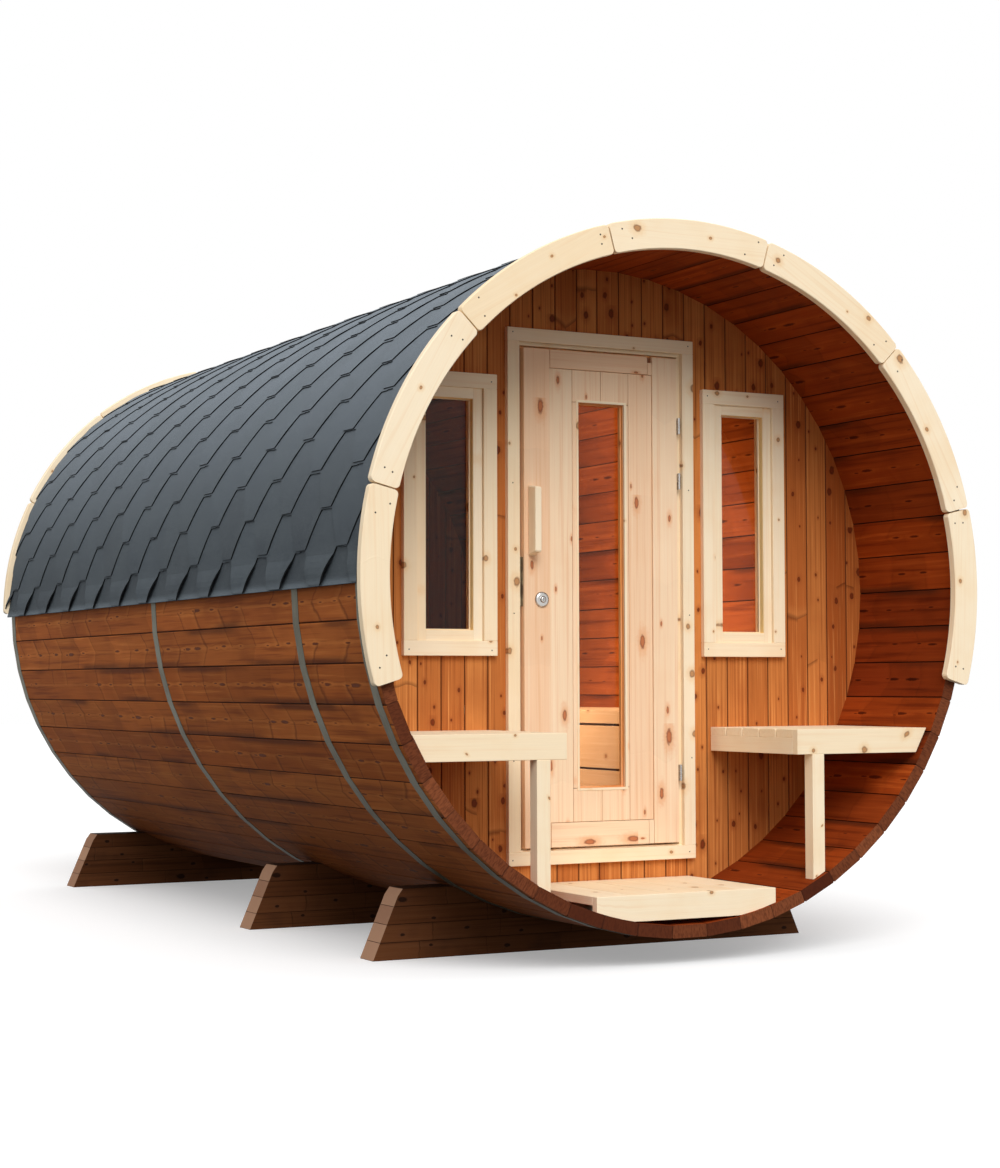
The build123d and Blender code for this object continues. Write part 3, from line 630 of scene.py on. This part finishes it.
def trim_ring(name, low_y, end_degrees, seed):
    """Seven arc boards: a bevelled section of radius and depth carried round the barrel's axis.

    Near a board's end the section draws in by c - sqrt(c^2 - (c - d)^2), where d is the distance from the
    end and c the corner's rounding.
    """
    rng = np.random.default_rng(seed)
    trim_start = math.radians(end_degrees)
    trim_span = (math.pi - 2 * trim_start) / trim_count
    near = trim_corner * np.array([0.0, 0.05, 0.15, 0.35, 0.65, 1.0]) / (trim_span * trim_outer)
    share = np.concatenate([near, np.linspace(near[-1], 1 - near[-1], 26)[1:-1], 1 - near[::-1]])
    boards_here = np.arange(trim_count)
    half_gap = rng.uniform(*trim_gap, (trim_count, 2)) / trim_outer
    begin = trim_start + trim_span * boards_here + half_gap[:, 0]
    finish_angle = trim_start + trim_span * (boards_here + 1) - half_gap[:, 1]
    angle = begin[:, None] + (finish_angle - begin)[:, None] * share
    reach = np.minimum(share, 1 - share)[None, :] * (finish_angle - begin)[:, None] * trim_outer
    inset = trim_corner - np.sqrt(np.maximum(trim_corner ** 2 - np.maximum(trim_corner - reach, 0) ** 2, 0))
    sink = rng.uniform(0.0, 0.0035, trim_count)
    wedge = rng.uniform(-0.0018, 0.0018, trim_count)
    b = trim_bevel
    half = (trim_outer - trim_inner) / 2
    deep = trim_thickness
    section_r = np.array([-half, -half, -half + b, half - b, half, half, half - b, -half + b])
    section_y = np.array([b, deep - b, deep, deep, deep - b, b, 0.0, 0.0]) * (1 - nail_face / deep) + nail_face
    shrink = (half - inset)[:, :, None] / half
    middle = trim_middle - sink[:, None, None] + wedge[:, None, None] * (share[None, :, None] - 0.5)
    r = np.minimum(middle + section_r * shrink, trim_outer)
    a = angle[:, :, None] + np.zeros_like(r)
    y = low_y + section_y + np.zeros_like(r)
    points = np.stack([r * np.cos(a), y, axis_height + r * np.sin(a)], -1)
    quads, caps = tube_faces(trim_count, len(share), len(section_r))
    turn_from_middle = a - ((begin + finish_angle) / 2)[:, None, None]
    offset = rng.uniform(0, 50, trim_count)[:, None, None]
    grain = np.stack([r * np.sin(turn_from_middle) + offset,
                      r * np.cos(turn_from_middle) - trim_middle + 0.01,
                      y - low_y], -1)
    board = np.broadcast_to(rng.uniform(0, 1, (trim_count, 1, 1, 3)), grain.shape)
    spots = rng.uniform(0.03, 0.075, (trim_count, 2, 2))
    heads_angle = np.stack([begin, finish_angle], 1)[:, :, None] + np.array([[1], [-1]]) * spots
    heads_radius = trim_middle + np.array([-1, 1]) * rng.uniform(0.008, 0.03, (trim_count, 2, 2))
    heads = np.stack([heads_radius * np.cos(heads_angle), low_y + nail_face + 0 * heads_angle,
                      axis_height + heads_radius * np.sin(heads_angle)], -1).reshape(-1, 3)
    if low_y < 0:
        nail_heads(name + "_nails", heads, (0.0, -1.0, 0.0), 0.0032)
    return add_piece(name, points, quads.tolist() + caps, spruce_finish, "sauna",
                     {"grain": grain, "board": board})


front_trim = trim_ring("front_trim_boards", -1.854, -16.8, 11)
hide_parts(*(f"front_trim_{i}" for i in range(1, 8)))
back_trim = trim_ring("back_trim_boards", 1.826, -0.5, 12)
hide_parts("back_trim")


# Front wall: upright tongued boards with bevelled edges, cut round to the staves' groove.
# The doorway and both window holes are sawn through; their edges lie under the casings.
wall_front, wall_thickness = -1.309, 0.045
wall_radius, wall_board = 1.066, 0.084
wall_seams = np.array([-1.0655, *(-0.345 - wall_board * np.arange(8, 0, -1)), -0.345, -0.261, -0.176, -0.094,
                       -0.016, 0.068, *(0.158 + wall_board * np.arange(11)), 1.0655])
doorway = (-0.344, 0.328, 0.296, 2.005)
window_holes = [(-0.71, -0.432, 0.986, 1.8384), (0.416, 0.694, 0.986, 1.8384)]
edge_bevel, edge_depth = 0.0035, 0.003
wall_look = dict(
    base=paint(210, 132, 68), dark=paint(158, 84, 38), light=paint(232, 158, 90), toned=paint(206, 172, 150),
    tone_strength=0.95, knot_gap=0.075, knot_long=1.5, knot_spread=0.066, knot_radius=0.0066, knot_share=0.6,
    knot=paint(112, 44, 18), rim=paint(70, 24, 10), halo=paint(160, 82, 38), halo_strength=0.55,
    knot_strength=0.9, rail=0.0, branch_gap=1.1, branch_lean=1.6, branch_bend=0.02, branch_width=0.016,
    branch_strength=0.5, patch=0.12, blotch=paint(168, 90, 42), blotch_scale=4.0, blotch_strength=0.5,
    streak=0.9, streak_count=130.0, fibre=0.2, roughness=0.66, relief=0.0005)
wall_finish = board_finish("heat-treated wall boards", wall_look, paint(70, 30, 14))

wall_rng = np.random.default_rng(21)
left, right = wall_seams[:-1, None], wall_seams[1:, None]
hole_edges = np.array([doorway[0], doorway[1], *(edge for hole in window_holes for edge in hole[:2])])
inner = (hole_edges[None, :] > left + 0.006) & (hole_edges[None, :] < right - 0.006)
sawn = np.where(inner.any(1), hole_edges[inner.argmax(1)], wall_seams[:-1] * 0.6 + wall_seams[1:] * 0.4)
middle = (left + right) / 2
columns = np.sort(np.concatenate([left + 0.0003, left + edge_bevel, sawn[:, None], middle, right - edge_bevel,
                                  right - 0.0003], 1), 1)
dip = np.where((columns < left + 0.001) | (columns > right - 0.001), edge_depth, 0.0)
reach = np.sqrt(np.maximum(wall_radius ** 2 - columns ** 2, 0))
levels = np.sort([-9.0, doorway[2], window_holes[0][2], 1.4, window_holes[0][3], doorway[3], 9.0])
z = np.clip(levels[None, :, None], axis_height - reach[:, None, :], axis_height + reach[:, None, :])
x = np.broadcast_to(columns[:, None, :], z.shape)
y = np.broadcast_to(wall_front + dip[:, None, :], z.shape)
points = np.stack([x, y, z], -1)
faces = grid_faces(len(columns), len(levels), columns.shape[1])
faces = drop_thin_faces(points, faces)
face_middle = points.reshape(-1, 3)[faces].mean(1)
in_hole = np.zeros(len(faces), bool)
for x0, x1, z0, z1 in (doorway, *window_holes):
    in_hole |= ((face_middle[:, 0] > x0) & (face_middle[:, 0] < x1)
                & (face_middle[:, 2] > z0) & (face_middle[:, 2] < z1))
offset = wall_rng.uniform(0, 60, len(columns))[:, None, None]
grain = np.stack([z + offset, x - middle[:, None, :], y - wall_front], -1)
board_seeds = wall_rng.uniform(0, 1, (len(columns), 1, 1, 3))
# Painted shade: boards towards the right end, beside the staves, take a darker tone for the barrel's side shading
# them.
board_seeds[..., 2] = board_seeds[..., 2] * 0.7 + 2.4 * np.clip(middle[:, :, None] - 0.72, 0, 1)
board = np.broadcast_to(board_seeds, grain.shape)
front_wall = add_piece("front_wall_boards", points, faces[~in_hole], wall_finish, "sauna",
                       {"grain": grain, "board": board})
body = front_wall.modifiers.new("board thickness", "SOLIDIFY")
body.thickness = wall_thickness - 0.001
body.offset = -1
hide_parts("front_wall_left", "front_wall_right", "front_wall_over_door", "front_wall_under_door")


# Back wall: the same upright boards, uncut, in the groove at the back end.
# The CAD disc stays, and its finish draws the boards and their bevelled joints.
back_finish, flow = new_finish("back wall boards")
place = flow.place()
x, y, z = place.parts()
number, across = (x / wall_board).board_row(wall_board)
colour, roughness, height = grown_wood(flow, z, across, y, number.chance(), wall_look)
seam = abs(across).ease(0.0395, 0.0418)
# Painted shade: the room side of the boards is darker.
colour = flow.layers(colour, (y.ease(1.7, 1.69) * 0.6, paint(60, 32, 18)), (seam * 0.85, paint(58, 28, 14)))
surface(flow, colour, roughness, height - seam * 4.0, 0.0012, Specular_IOR_Level=0.1)
dress(back_finish, "back_wall")


# Door frame: jambs with a closing strip, head and sill, and planed casing boards on the wall.
# The head and sill boards run full width and the uprights stand between them.
def sawn_boards(name, boxes, seed, material=spruce_finish, body="sauna", bevel=0.0015, steps=2,
                fit=None):
    """Planed boards with eased edges, as one mesh.

    Each box is (x0, x1, y0, y1, z0, z1, grain axis, group). A board's section is a rectangle with corners of
    three points, carried along its grain and drawn in at both ends. Boards of one group share their grain.
    """
    rng = np.random.default_rng(seed)
    boxes = np.array([(*box, -1 - i) if len(box) == 7 else box for i, box in enumerate(boxes)], float)
    low, high = np.minimum(boxes[:, 0:6:2], boxes[:, 1:6:2]), np.maximum(boxes[:, 0:6:2], boxes[:, 1:6:2])
    size, centre = high - low, (low + high) / 2
    rows = np.arange(len(boxes))
    grain_axis = boxes[:, 6].astype(int)
    others = np.array([[1, 2], [2, 0], [0, 1]])[grain_axis]
    first_wider = size[rows, others[:, 0]] >= size[rows, others[:, 1]]
    wide = np.where(first_wider, others[:, 0], others[:, 1])
    thin = np.where(first_wider, others[:, 1], others[:, 0])
    unit = np.eye(3)
    along, across, depth = unit[grain_axis], unit[wide], unit[thin] * np.where(first_wider, 1, -1)[:, None]
    length, width, thick = size[rows, grain_axis], size[rows, wide], size[rows, thin]

    corner = np.array([[1, -1], [1, 1], [-1, 1], [-1, -1]]).repeat(3, 0)
    turn = np.radians(np.arange(-90, 270, 45))[[0, 1, 2, 2, 3, 4, 4, 5, 6, 6, 7, 0]]
    ease_to = np.array([0.3, *np.ones(steps), 0.3]) * bevel
    half = np.stack([width, thick], -1)[:, None, None, :] / 2
    section = corner * (half - bevel) + ease_to[None, :, None, None] * np.stack([np.cos(turn), np.sin(turn)], -1)
    share = np.linspace(-1, 1, steps)[None, :] * (length / 2 - bevel)[:, None]
    stations = np.concatenate([-length[:, None] / 2, share, length[:, None] / 2], 1)[:, :, None]
    points = (centre[:, None, None, :] + stations[..., None] * along[:, None, None, :]
              + section[..., :1] * across[:, None, None, :] + section[..., 1:] * depth[:, None, None, :])
    firsts = np.array([np.flatnonzero(boxes[:, 7] == group)[0] for group in boxes[:, 7]])
    local = points - centre[firsts][:, None, None, :]
    slide = rng.uniform(0, 60, len(boxes))[firsts][:, None, None]
    grain = np.stack([(local * along[:, None, None, :]).sum(-1) + slide,
                      (local * across[:, None, None, :]).sum(-1), (local * depth[:, None, None, :]).sum(-1)], -1)
    board = np.broadcast_to(rng.uniform(0, 1, (len(boxes), 3))[firsts][:, None, None, :], grain.shape)
    if fit is not None:
        points = fit(points)
    quads, caps = tube_faces(len(boxes), steps + 2, len(corner))
    return add_piece(name, points, drop_thin_faces(points, quads).tolist() + caps, material, body,
                     {"grain": grain, "board": board})


def inset(edges, margin, rise=None):
    """Edges (x0, x1, z0, z1) drawn in by a margin, or by another one up and down."""
    rise = margin if rise is None else rise
    return edges[0] + margin, edges[1] - margin, edges[2] + rise, edges[3] - rise


def four_sides(outer, inner, y, upright=None, level=None):
    """Boxes of a frame between two sets of edges.

    Its uprights reach over the heights in upright, and its level boards over the widths in level.
    """
    upright, level = upright or outer[2:], level or inner[:2]
    return [(outer[0], inner[0], *y, *upright, GRAIN_Z), (inner[1], outer[1], *y, *upright, GRAIN_Z),
            (*level, *y, outer[2], inner[2], GRAIN_X), (*level, *y, inner[3], outer[3], GRAIN_X)]


GRAIN_X, GRAIN_Y, GRAIN_Z = 0, 1, 2
pine_look = dict(
    base=paint(251, 222, 187), dark=paint(236, 184, 140), light=paint(255, 234, 206),
    toned=paint(250, 234, 226), tone_strength=0.9, knot_gap=0.16, knot_long=2.4, knot_spread=0.085,
    knot_radius=0.007, knot_share=0.55, knot=paint(190, 110, 68), rim=paint(132, 64, 38),
    halo=paint(234, 168, 118), halo_strength=0.65, knot_strength=0.9, rail=0.0, branch_gap=0.6, branch_lean=1.4,
    branch_bend=0.02, branch_width=0.008, branch_strength=0.0, patch=0.04, blotch=paint(242, 198, 158),
    blotch_scale=3.0, blotch_strength=0.5, streak=0.5, streak_count=110.0, fibre=0.08, roughness=0.6,
    relief=0.0004)
pine_finish = board_finish("planed door pine", pine_look)
door_centre = -0.008
casing_half, casing_board = 0.357, 0.044
casing_bottom, casing_top = 0.282, 2.0263
casing_front = -1.329
jamb_inner, jamb_outer = 0.302, 0.336
sill_top, head_bottom, frame_board = 0.330, 1.9713, 0.034
stop_front, stop_back, stop_width = -1.274, -1.256, 0.014

uprights = []
for side in (-1, 1):
    inner_x, outer_x = door_centre + side * jamb_inner, door_centre + side * jamb_outer
    uprights += [
        (door_centre + side * (casing_half - casing_board), door_centre + side * casing_half,
         casing_front, wall_front, casing_bottom + casing_board, casing_top - casing_board, GRAIN_Z),
        (inner_x, outer_x, wall_front, stop_back, sill_top, head_bottom, GRAIN_Z),
        (inner_x, inner_x - side * stop_width, stop_front, stop_back, sill_top, head_bottom, GRAIN_Z)]
jambs = sawn_boards("door_frame_uprights", uprights, 31)
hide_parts("door_jambs")
casing_span = (door_centre - casing_half, door_centre + casing_half, casing_front, wall_front)
frame_span = (door_centre - jamb_outer, door_centre + jamb_outer, wall_front, stop_back)
head = sawn_boards("door_frame_head", [
    (*casing_span, casing_top - casing_board, casing_top, GRAIN_X),
    (*frame_span, head_bottom, head_bottom + frame_board, GRAIN_X)], 32)
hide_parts("door_head")
sill = sawn_boards("door_frame_sill", [
    (*casing_span, casing_bottom, casing_bottom + casing_board, GRAIN_X),
    (*frame_span, sill_top - frame_board, sill_top, GRAIN_X)], 33)
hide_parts("door_sill")


# Door leaf: knotty pine stiles and rails round four upright boards, sawn out for a tall pane.
# A thin pale bead edges the pane in front, and the reveal behind the bead is a warmer tone.
leaf_half, leaf_bottom, leaf_top = 0.295, 0.336, 1.9643
leaf_front, leaf_back, panel_front = -1.323, -1.279, -1.319
stile, top_rail, bottom_rail = 0.098, 0.062, 0.080
pane = (-0.096, 0.080, 0.526, 1.7953)
panel_seams = (-0.205, -0.119, -0.010, 0.097, 0.189)
door_left, door_right = door_centre - leaf_half, door_centre + leaf_half
stile_left, stile_right = door_left + stile, door_right - stile
top_filler, low_filler, seam_gap = 0.018, 0.02, 0.0008
panel_low, panel_high = leaf_bottom + bottom_rail, leaf_top - top_rail
leaf_y, panel_y = (leaf_front, leaf_back), (panel_front, leaf_back)
leaf_boards = [
    (door_left, stile_left, *leaf_y, leaf_bottom, leaf_top, GRAIN_Z),
    (stile_right, door_right, *leaf_y, leaf_bottom, leaf_top, GRAIN_Z),
    (stile_left, stile_right - top_filler, *leaf_y, panel_high, leaf_top, GRAIN_X),
    (stile_right - top_filler, stile_right, *leaf_y, panel_high, leaf_top - 0.02, GRAIN_Z),
    (stile_left, stile_right - low_filler, *leaf_y, leaf_bottom, panel_low, GRAIN_X),
    (stile_right - low_filler, stile_right, *leaf_y, leaf_bottom, panel_low, GRAIN_Z),
    (*panel_seams[:2], *panel_y, panel_low, panel_high, GRAIN_Z),
    (*panel_seams[3:], *panel_y, panel_low, panel_high, GRAIN_Z),
]
for group, (x0, x1) in enumerate(zip(panel_seams[1:3], panel_seams[2:4])):
    leaf_boards.append((x0, x1, *panel_y, panel_low, pane[2], GRAIN_Z, group))
    leaf_boards.append((x0, x1, *panel_y, pane[3], panel_high, GRAIN_Z, group))
    leaf_boards.append((max(x0, pane[1]) if group else x0, x1 if group else pane[0],
                        *panel_y, pane[2], pane[3], GRAIN_Z, group))
leaf_boards = [(min(box[:2]) + seam_gap, max(box[:2]) - seam_gap, *box[2:4],
                box[4] + seam_gap, box[5] - seam_gap, *box[6:]) for box in leaf_boards]
leaf = sawn_boards("door_leaf_boards", leaf_boards, 41, pine_finish, "door", 0.0014)
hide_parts("door_leaf")
core_y = (panel_front + 0.006, leaf_back - 0.006)
core = four_sides(inset((door_left, door_right, leaf_bottom, leaf_top), 0.004), pane, core_y)
seam_look = dict(pine_look, base=paint(150, 96, 60), dark=paint(120, 74, 44), toned=paint(220, 200, 190))
seam_finish = board_finish("shaded pine core", seam_look)
sawn_boards("door_leaf_core", core, 46, seam_finish, "door", 0.0005)

bead_width, bead_rise = 0.008, 0.002
bead_y = (panel_front - bead_rise, panel_front + 0.006)
beads = four_sides(inset(pane, -bead_width), pane, bead_y)
sawn_boards("door_pane_bead", beads, 42, body="door", bevel=0.0008)
reveal_look = dict(pine_look, base=paint(236, 164, 96), dark=paint(206, 126, 62), halo=paint(190, 110, 56))
reveal_finish = board_finish("warm pine reveal", reveal_look)
reveal_start, reveal_step, reveal_end = panel_front + 0.006, panel_front + 0.017, panel_front + 0.0295
reveals = four_sides(pane, inset(pane, 0.0015), (reveal_start, reveal_step))
reveals += four_sides(pane, inset(pane, 0.006), (reveal_step, reveal_end))
sawn_boards("door_pane_reveal", reveals, 43, reveal_finish, "door", 0.0004)


# Glass: bronze-tinted toughened panes in the door and both windows.
# The CAD panes stay; they let light through tinted and mirror the white studio a little.
glass_finish, flow = new_finish("bronze glass")
surface(flow, paint(238, 206, 178), 0.01, Transmission_Weight=1.0, IOR=1.25)
dress(glass_finish, "door_glass", "window_glass")


# Door fittings: a wooden block grip on each side, a domed chrome lock rose and lift-off hinges.
# The lock has a dull plate on the leaf's edge, and a strike plate of the same steel in the left jamb.
grip_low, grip_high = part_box("door_grips")
grip_depth = 0.05


def slant_grip_ends(points):
    """Lowers a grip's bottom and top by a share of the way out from the leaf."""
    out = np.maximum(leaf_front - points[..., 1], points[..., 1] - leaf_back) / grip_depth
    slanted = points.copy()
    slanted[..., 2] += np.where(points[..., 2] < 1.4, 0.012, -0.008) * out
    return slanted


grips = sawn_boards("block_grips", [
    (grip_low.x, grip_high.x, leaf_front - grip_depth, leaf_front, grip_low.z, grip_high.z, GRAIN_Z),
    (grip_low.x, grip_high.x, leaf_back, leaf_back + grip_depth, grip_low.z, grip_high.z, GRAIN_Z)],
    44, body="door", bevel=0.004, fit=slant_grip_ends)
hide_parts("door_grips")

chrome_finish, flow = new_finish("bright steel")
place = flow.place()
scuff = place.noise(120.0, 3.0)
surface(flow, flow.mix(scuff, paint(172, 168, 164), paint(204, 202, 198)), scuff * 0.15 + 0.2, scuff, 0.0001,
        Metallic=1.0)

rose_low, rose_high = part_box("door_lock")
rose_radius, rose_height = (rose_high.x - rose_low.x) / 2, 0.009
lock_x, lock_z = (rose_high.x + rose_low.x) / 2, (rose_high.z + rose_low.z) / 2
core_radius, core_top = 0.009, rose_high.y - rose_low.y
ring_share = np.sin(np.linspace(0, math.pi / 2, 9))[::-1]
dome_r = core_radius + (rose_radius - core_radius) * ring_share
dome_h = rose_height * np.sqrt(np.maximum(1 - (ring_share * 0.995) ** 3, 0))
profile_r = np.array([rose_radius, *dome_r, core_radius + 0.0004, core_radius, core_radius - 0.0008, 0.0002])
profile_h = np.array([0.0, *dome_h, rose_height, core_top - 0.001, core_top, core_top])
turn = np.linspace(0, 2 * math.pi, 49)
points = np.stack([lock_x + profile_r[:, None] * np.cos(turn), rose_high.y - profile_h[:, None] + 0 * turn,
                   lock_z + profile_r[:, None] * np.sin(turn)], -1)
faces = drop_thin_faces(points, grid_faces(1, len(profile_r), len(turn))[:, ::-1])
rose = add_piece("lock_rose", points, faces, chrome_finish, "door", smooth=True)
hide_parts("door_lock")
slot_half_width, slot_half_height = 0.00125, 0.0055
slot = inset((lock_x, lock_x, lock_z, lock_z), -slot_half_width, -slot_half_height)
sawn_boards("key_slot", [(*slot[:2], rose_low.y - 0.0001, rose_low.y + 0.002, *slot[2:], GRAIN_Z)],
            45, dark_finish, "door", 0.0002)
plate_finish, flow = new_finish("worn lock steel")
place = flow.place()
wear = place.noise(24.0, 3.0)
colour = flow.mix(wear.ease(0.35, 0.65), paint(128, 112, 92), paint(186, 170, 138))
surface(flow, colour, wear * 0.2 + 0.45, wear, 0.0001, Metallic=0.2, Specular_IOR_Level=0.2)
plate_low, plate_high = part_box("strike_plate")
leaf_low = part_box("door_leaf")[0]
forend_proud, forend_sunk, forend_start, forend_stop = 0.0005, 0.002, 0.008, 0.034
sawn_boards("lock_forend", [(leaf_low.x - forend_proud, leaf_low.x + forend_sunk,
                             leaf_low.y + forend_start, leaf_low.y + forend_stop,
                             plate_low.z, plate_high.z, GRAIN_Z)],
            46, plate_finish, "door", 0.0002)
dress(plate_finish, "strike_plate")
dress(chrome_finish, "hinges_on_frame", "hinges_on_door")


# Windows: fixed panes in a grooved lining, with a sash frame and four casing boards on the wall.
# The side casings stand between the head and sill boards, as the door's do.
window_centres = (-0.571, 0.555)
window_half, window_low, window_high = 0.167, 0.958, 1.8664
window_casing, sash_width, sash_recess = 0.048, 0.034, 0.010
lining_play, glazing_bead, reveal_skin, window_pane_front = 0.0015, 0.004, 0.001, -1.291
lining_y = (casing_front + sash_recess, wall_front + wall_thickness)
glazing_y = (window_pane_front - 0.005, window_pane_front)
reveal_y = (casing_front + sash_recess + 0.003, window_pane_front - 0.006)
casings, linings, glazing, reveals, casing_nails = [], [], [], [], []
for centre_x in window_centres:
    casing = (centre_x - window_half, centre_x + window_half, window_low, window_high)
    hole = inset(casing, window_casing)
    sash = inset(hole, sash_width)
    casings += four_sides(casing, hole, (casing_front, wall_front), hole[2:], casing[:2])
    linings += four_sides(inset(hole, lining_play, 0), sash, lining_y)
    glazing += four_sides(sash, inset(sash, glazing_bead), glazing_y)
    reveals += four_sides(sash, inset(sash, reveal_skin), reveal_y, level=sash[:2])
    x0, x1, z0, z1 = inset(casing, 0.02, 0.022)
    casing_nails += [(x, casing_front, z) for x in (x0, x1) for z in (z0, z1)]
window_casings = sawn_boards("window_casings", casings, 51)
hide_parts("window_frames")
sawn_boards("window_sashes", linings, 52, bevel=0.001)
sawn_boards("window_glazing_beads", glazing, 53, bevel=0.001)
oiled_look = dict(spruce_look, base=paint(255, 222, 156), dark=paint(246, 188, 108), toned=paint(255, 250, 240))
oiled_finish = board_finish("oiled window reveal", oiled_look)
sawn_boards("window_reveals", reveals, 54, oiled_finish, bevel=0.0004)
for x in (door_centre - casing_half + 0.02, door_centre + casing_half - 0.02):
    casing_nails += [(x, casing_front, z) for z in (casing_bottom + 0.02, 0.62, 1.1, 1.52, casing_top - 0.02)]
nail_shift = np.random.default_rng(8).uniform(-0.006, 0.006, (len(casing_nails), 3))
nail_heads("casing_nails", np.array(casing_nails) + nail_shift * (1, 0, 1), (0.0, -1.0, 0.0), 0.0025)


# Porch benches: slats on a rail frame that reaches the staves, each with one square leg.
# All of it is pale planed spruce, sawn to the barrel's curve at the outer end.
def inside_barrel(points, radius, axis):
    """Draws points in to the barrel's circle, sideways (axis 0) or upwards (axis 2)."""
    fitted = points.copy()
    rise = points[..., 2] - axis_height
    if axis == 0:
        limit = np.sqrt(np.maximum(radius ** 2 - rise ** 2, 0))
        fitted[..., 0] = np.clip(points[..., 0], -limit, limit)
    else:
        limit = axis_height - np.sqrt(np.maximum(radius ** 2 - points[..., 0] ** 2, 0))
        fitted[..., 2] = np.maximum(points[..., 2], limit)
    return fitted


def to_staves(points):
    """Draws points up to the staves' inner face."""
    return inside_barrel(points, stave_inner, 2)


seat_radius, stave_inner = 1.050, 1.058
seat_board, rail_height = 0.027, 0.080
slat_count, slat_gap = 5, 0.006
leg_near, leg_far, leg_depth, leg_low = 0.482, 0.528, 0.044, 0.1
for side, name in ((-1, "porch_bench_left"), (1, "porch_bench_right")):
    low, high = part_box(name)
    y0, y1, top = low.y, high.y, high.z
    near = min(abs(low.x), abs(high.x))
    far = max(abs(low.x), abs(high.x)) + 0.05
    pitch = (y1 - y0 - seat_board + slat_gap) / slat_count
    board_z, rail_z = (top - seat_board, top), (top - rail_height, top - seat_board)
    seats = [(side * near, side * far, y0, y0 + seat_board, top - rail_height, top, GRAIN_X),
             (side * near, side * (near + seat_board), y0 + seat_board, y1, *rail_z, GRAIN_Y),
             (side * (near + seat_board), side * far, y1 - seat_board, y1, *rail_z, GRAIN_X)]
    for i in range(slat_count):
        start = y0 + seat_board + pitch * i
        seats.append((side * near, side * far, start, start + pitch - slat_gap, *board_z, GRAIN_X))
    leg_x = (side * leg_near, side * leg_far)
    seats.append((*leg_x, y0 + seat_board, y1 - seat_board, *rail_z, GRAIN_Y))
    seat = sawn_boards(name + "_seat", seats, 60 + side,
                       fit=lambda points: inside_barrel(points, seat_radius, 0))
    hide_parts(name)
    sawn_boards(name + "_leg", [(*leg_x, y0, y0 + leg_depth, leg_low, top - rail_height, GRAIN_Z)], 64 + side,
                fit=to_staves)


# Porch deck: five boards that run to the door on two bearers, with a deep board across the front.
# The front board's lower corners follow the staves.
deck_low, deck_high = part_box("porch_deck")
deck_top, deck_board, face_depth = deck_high.z, 0.027, 0.081
deck_count, deck_gap = 5, 0.004
bearer_width, bearer_low = 0.04, 0.13
pitch = (deck_high.x - deck_low.x + deck_gap) / deck_count
deck_boards = [(deck_low.x + pitch * i, deck_low.x + pitch * (i + 1) - deck_gap, deck_low.y + deck_board,
                deck_high.y, deck_top - deck_board, deck_top, GRAIN_Y) for i in range(deck_count)]
deck = sawn_boards("porch_deck_boards", deck_boards, 71)
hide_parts("porch_deck")
deck_middle = (deck_low.y + deck_high.y) / 2
sawn_boards("porch_deck_face", [
    (deck_low.x, deck_high.x, deck_low.y, deck_low.y + deck_board, deck_top - face_depth, deck_top, GRAIN_X),
    *((deck_low.x, deck_high.x, y, y_end, bearer_low, deck_top - deck_board, GRAIN_X)
      for y, y_end in ((deck_middle, deck_middle + bearer_width), (deck_high.y - bearer_width, deck_high.y)))],
    72, steps=16, fit=to_staves)


# Floor and benches inside: planed boards on bearers, seen through the door and the panes.
# Benches run the room's length on both sides, on posts that stand on the floor.
floor_low, floor_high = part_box("sauna_floor")
floor_top, floor_board = floor_high.z, 0.028
floor_half, plank_count, plank_gap = 0.545, 12, 0.002
floor_pitch = 2 * floor_half / plank_count
planks = [(-floor_half + floor_pitch * i, -floor_half + floor_pitch * (i + 1) - plank_gap, floor_low.y,
           floor_high.y, floor_top - floor_board, floor_top, GRAIN_Y) for i in range(plank_count)]
sauna_floor = sawn_boards("sauna_floor_boards", planks, 81)
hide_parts("sauna_floor")
bearer, bearer_count = 0.045, 4
bearer_pitch = (floor_high.y - floor_low.y - bearer) / (bearer_count - 1)
sawn_boards("sauna_floor_bearers", [
    (-floor_half, floor_half, floor_low.y + bearer_pitch * i, floor_low.y + bearer_pitch * i + bearer,
     bearer_low, floor_top - floor_board, GRAIN_X) for i in range(bearer_count)],
    82, steps=16, fit=to_staves)
inner_count, inner_board, inner_width, inner_gap = 4, 0.027, 0.124, 0.012
room_look = dict(spruce_look, base=paint(230, 196, 152), dark=paint(206, 160, 108), halo=paint(200, 150, 98))
room_finish = board_finish("room spruce", room_look)
inner_rail, inner_rail_height, post, post_count, post_far = 0.028, 0.048, 0.045, 3, 1.05
front_slats, front_slat_height, front_near, front_far = (0.395, 0.558), 0.155, 0.004, 0.024
for side, name in ((-1, "sauna_bench_left"), (1, "sauna_bench_right")):
    low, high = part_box(name)
    near, top = min(abs(low.x), abs(high.x)), high.z
    bench = [(side * near, side * (near + inner_rail), low.y, high.y, top - inner_rail_height, top, GRAIN_Y)]
    for i in range(inner_count):
        start = near + inner_rail + (inner_width + inner_gap) * i
        bench.append((side * start, side * (start + inner_width), low.y, high.y, top - inner_board, top, GRAIN_Y))
    bench += [(side * (near + front_near), side * (near + front_far), low.y, high.y, z0, z0 + front_slat_height,
               GRAIN_Y) for z0 in front_slats]
    post_pitch = (high.y - low.y - post) / (post_count - 1)
    for i in range(post_count):
        y0 = low.y + post_pitch * i
        bench.append((side * (near + inner_rail), side * post_far, y0, y0 + post, top - inner_rail_height - post,
                      top - inner_board, GRAIN_X))
        bench.append((side * (near + front_far), side * (near + front_far + post), y0, y0 + post, floor_top,
                      top - inner_rail_height, GRAIN_Z))
    bench = sawn_boards(name + "_boards", bench, 86 + side, room_finish,
                        fit=lambda points: inside_barrel(points, stave_inner, 0))
    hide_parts(name)
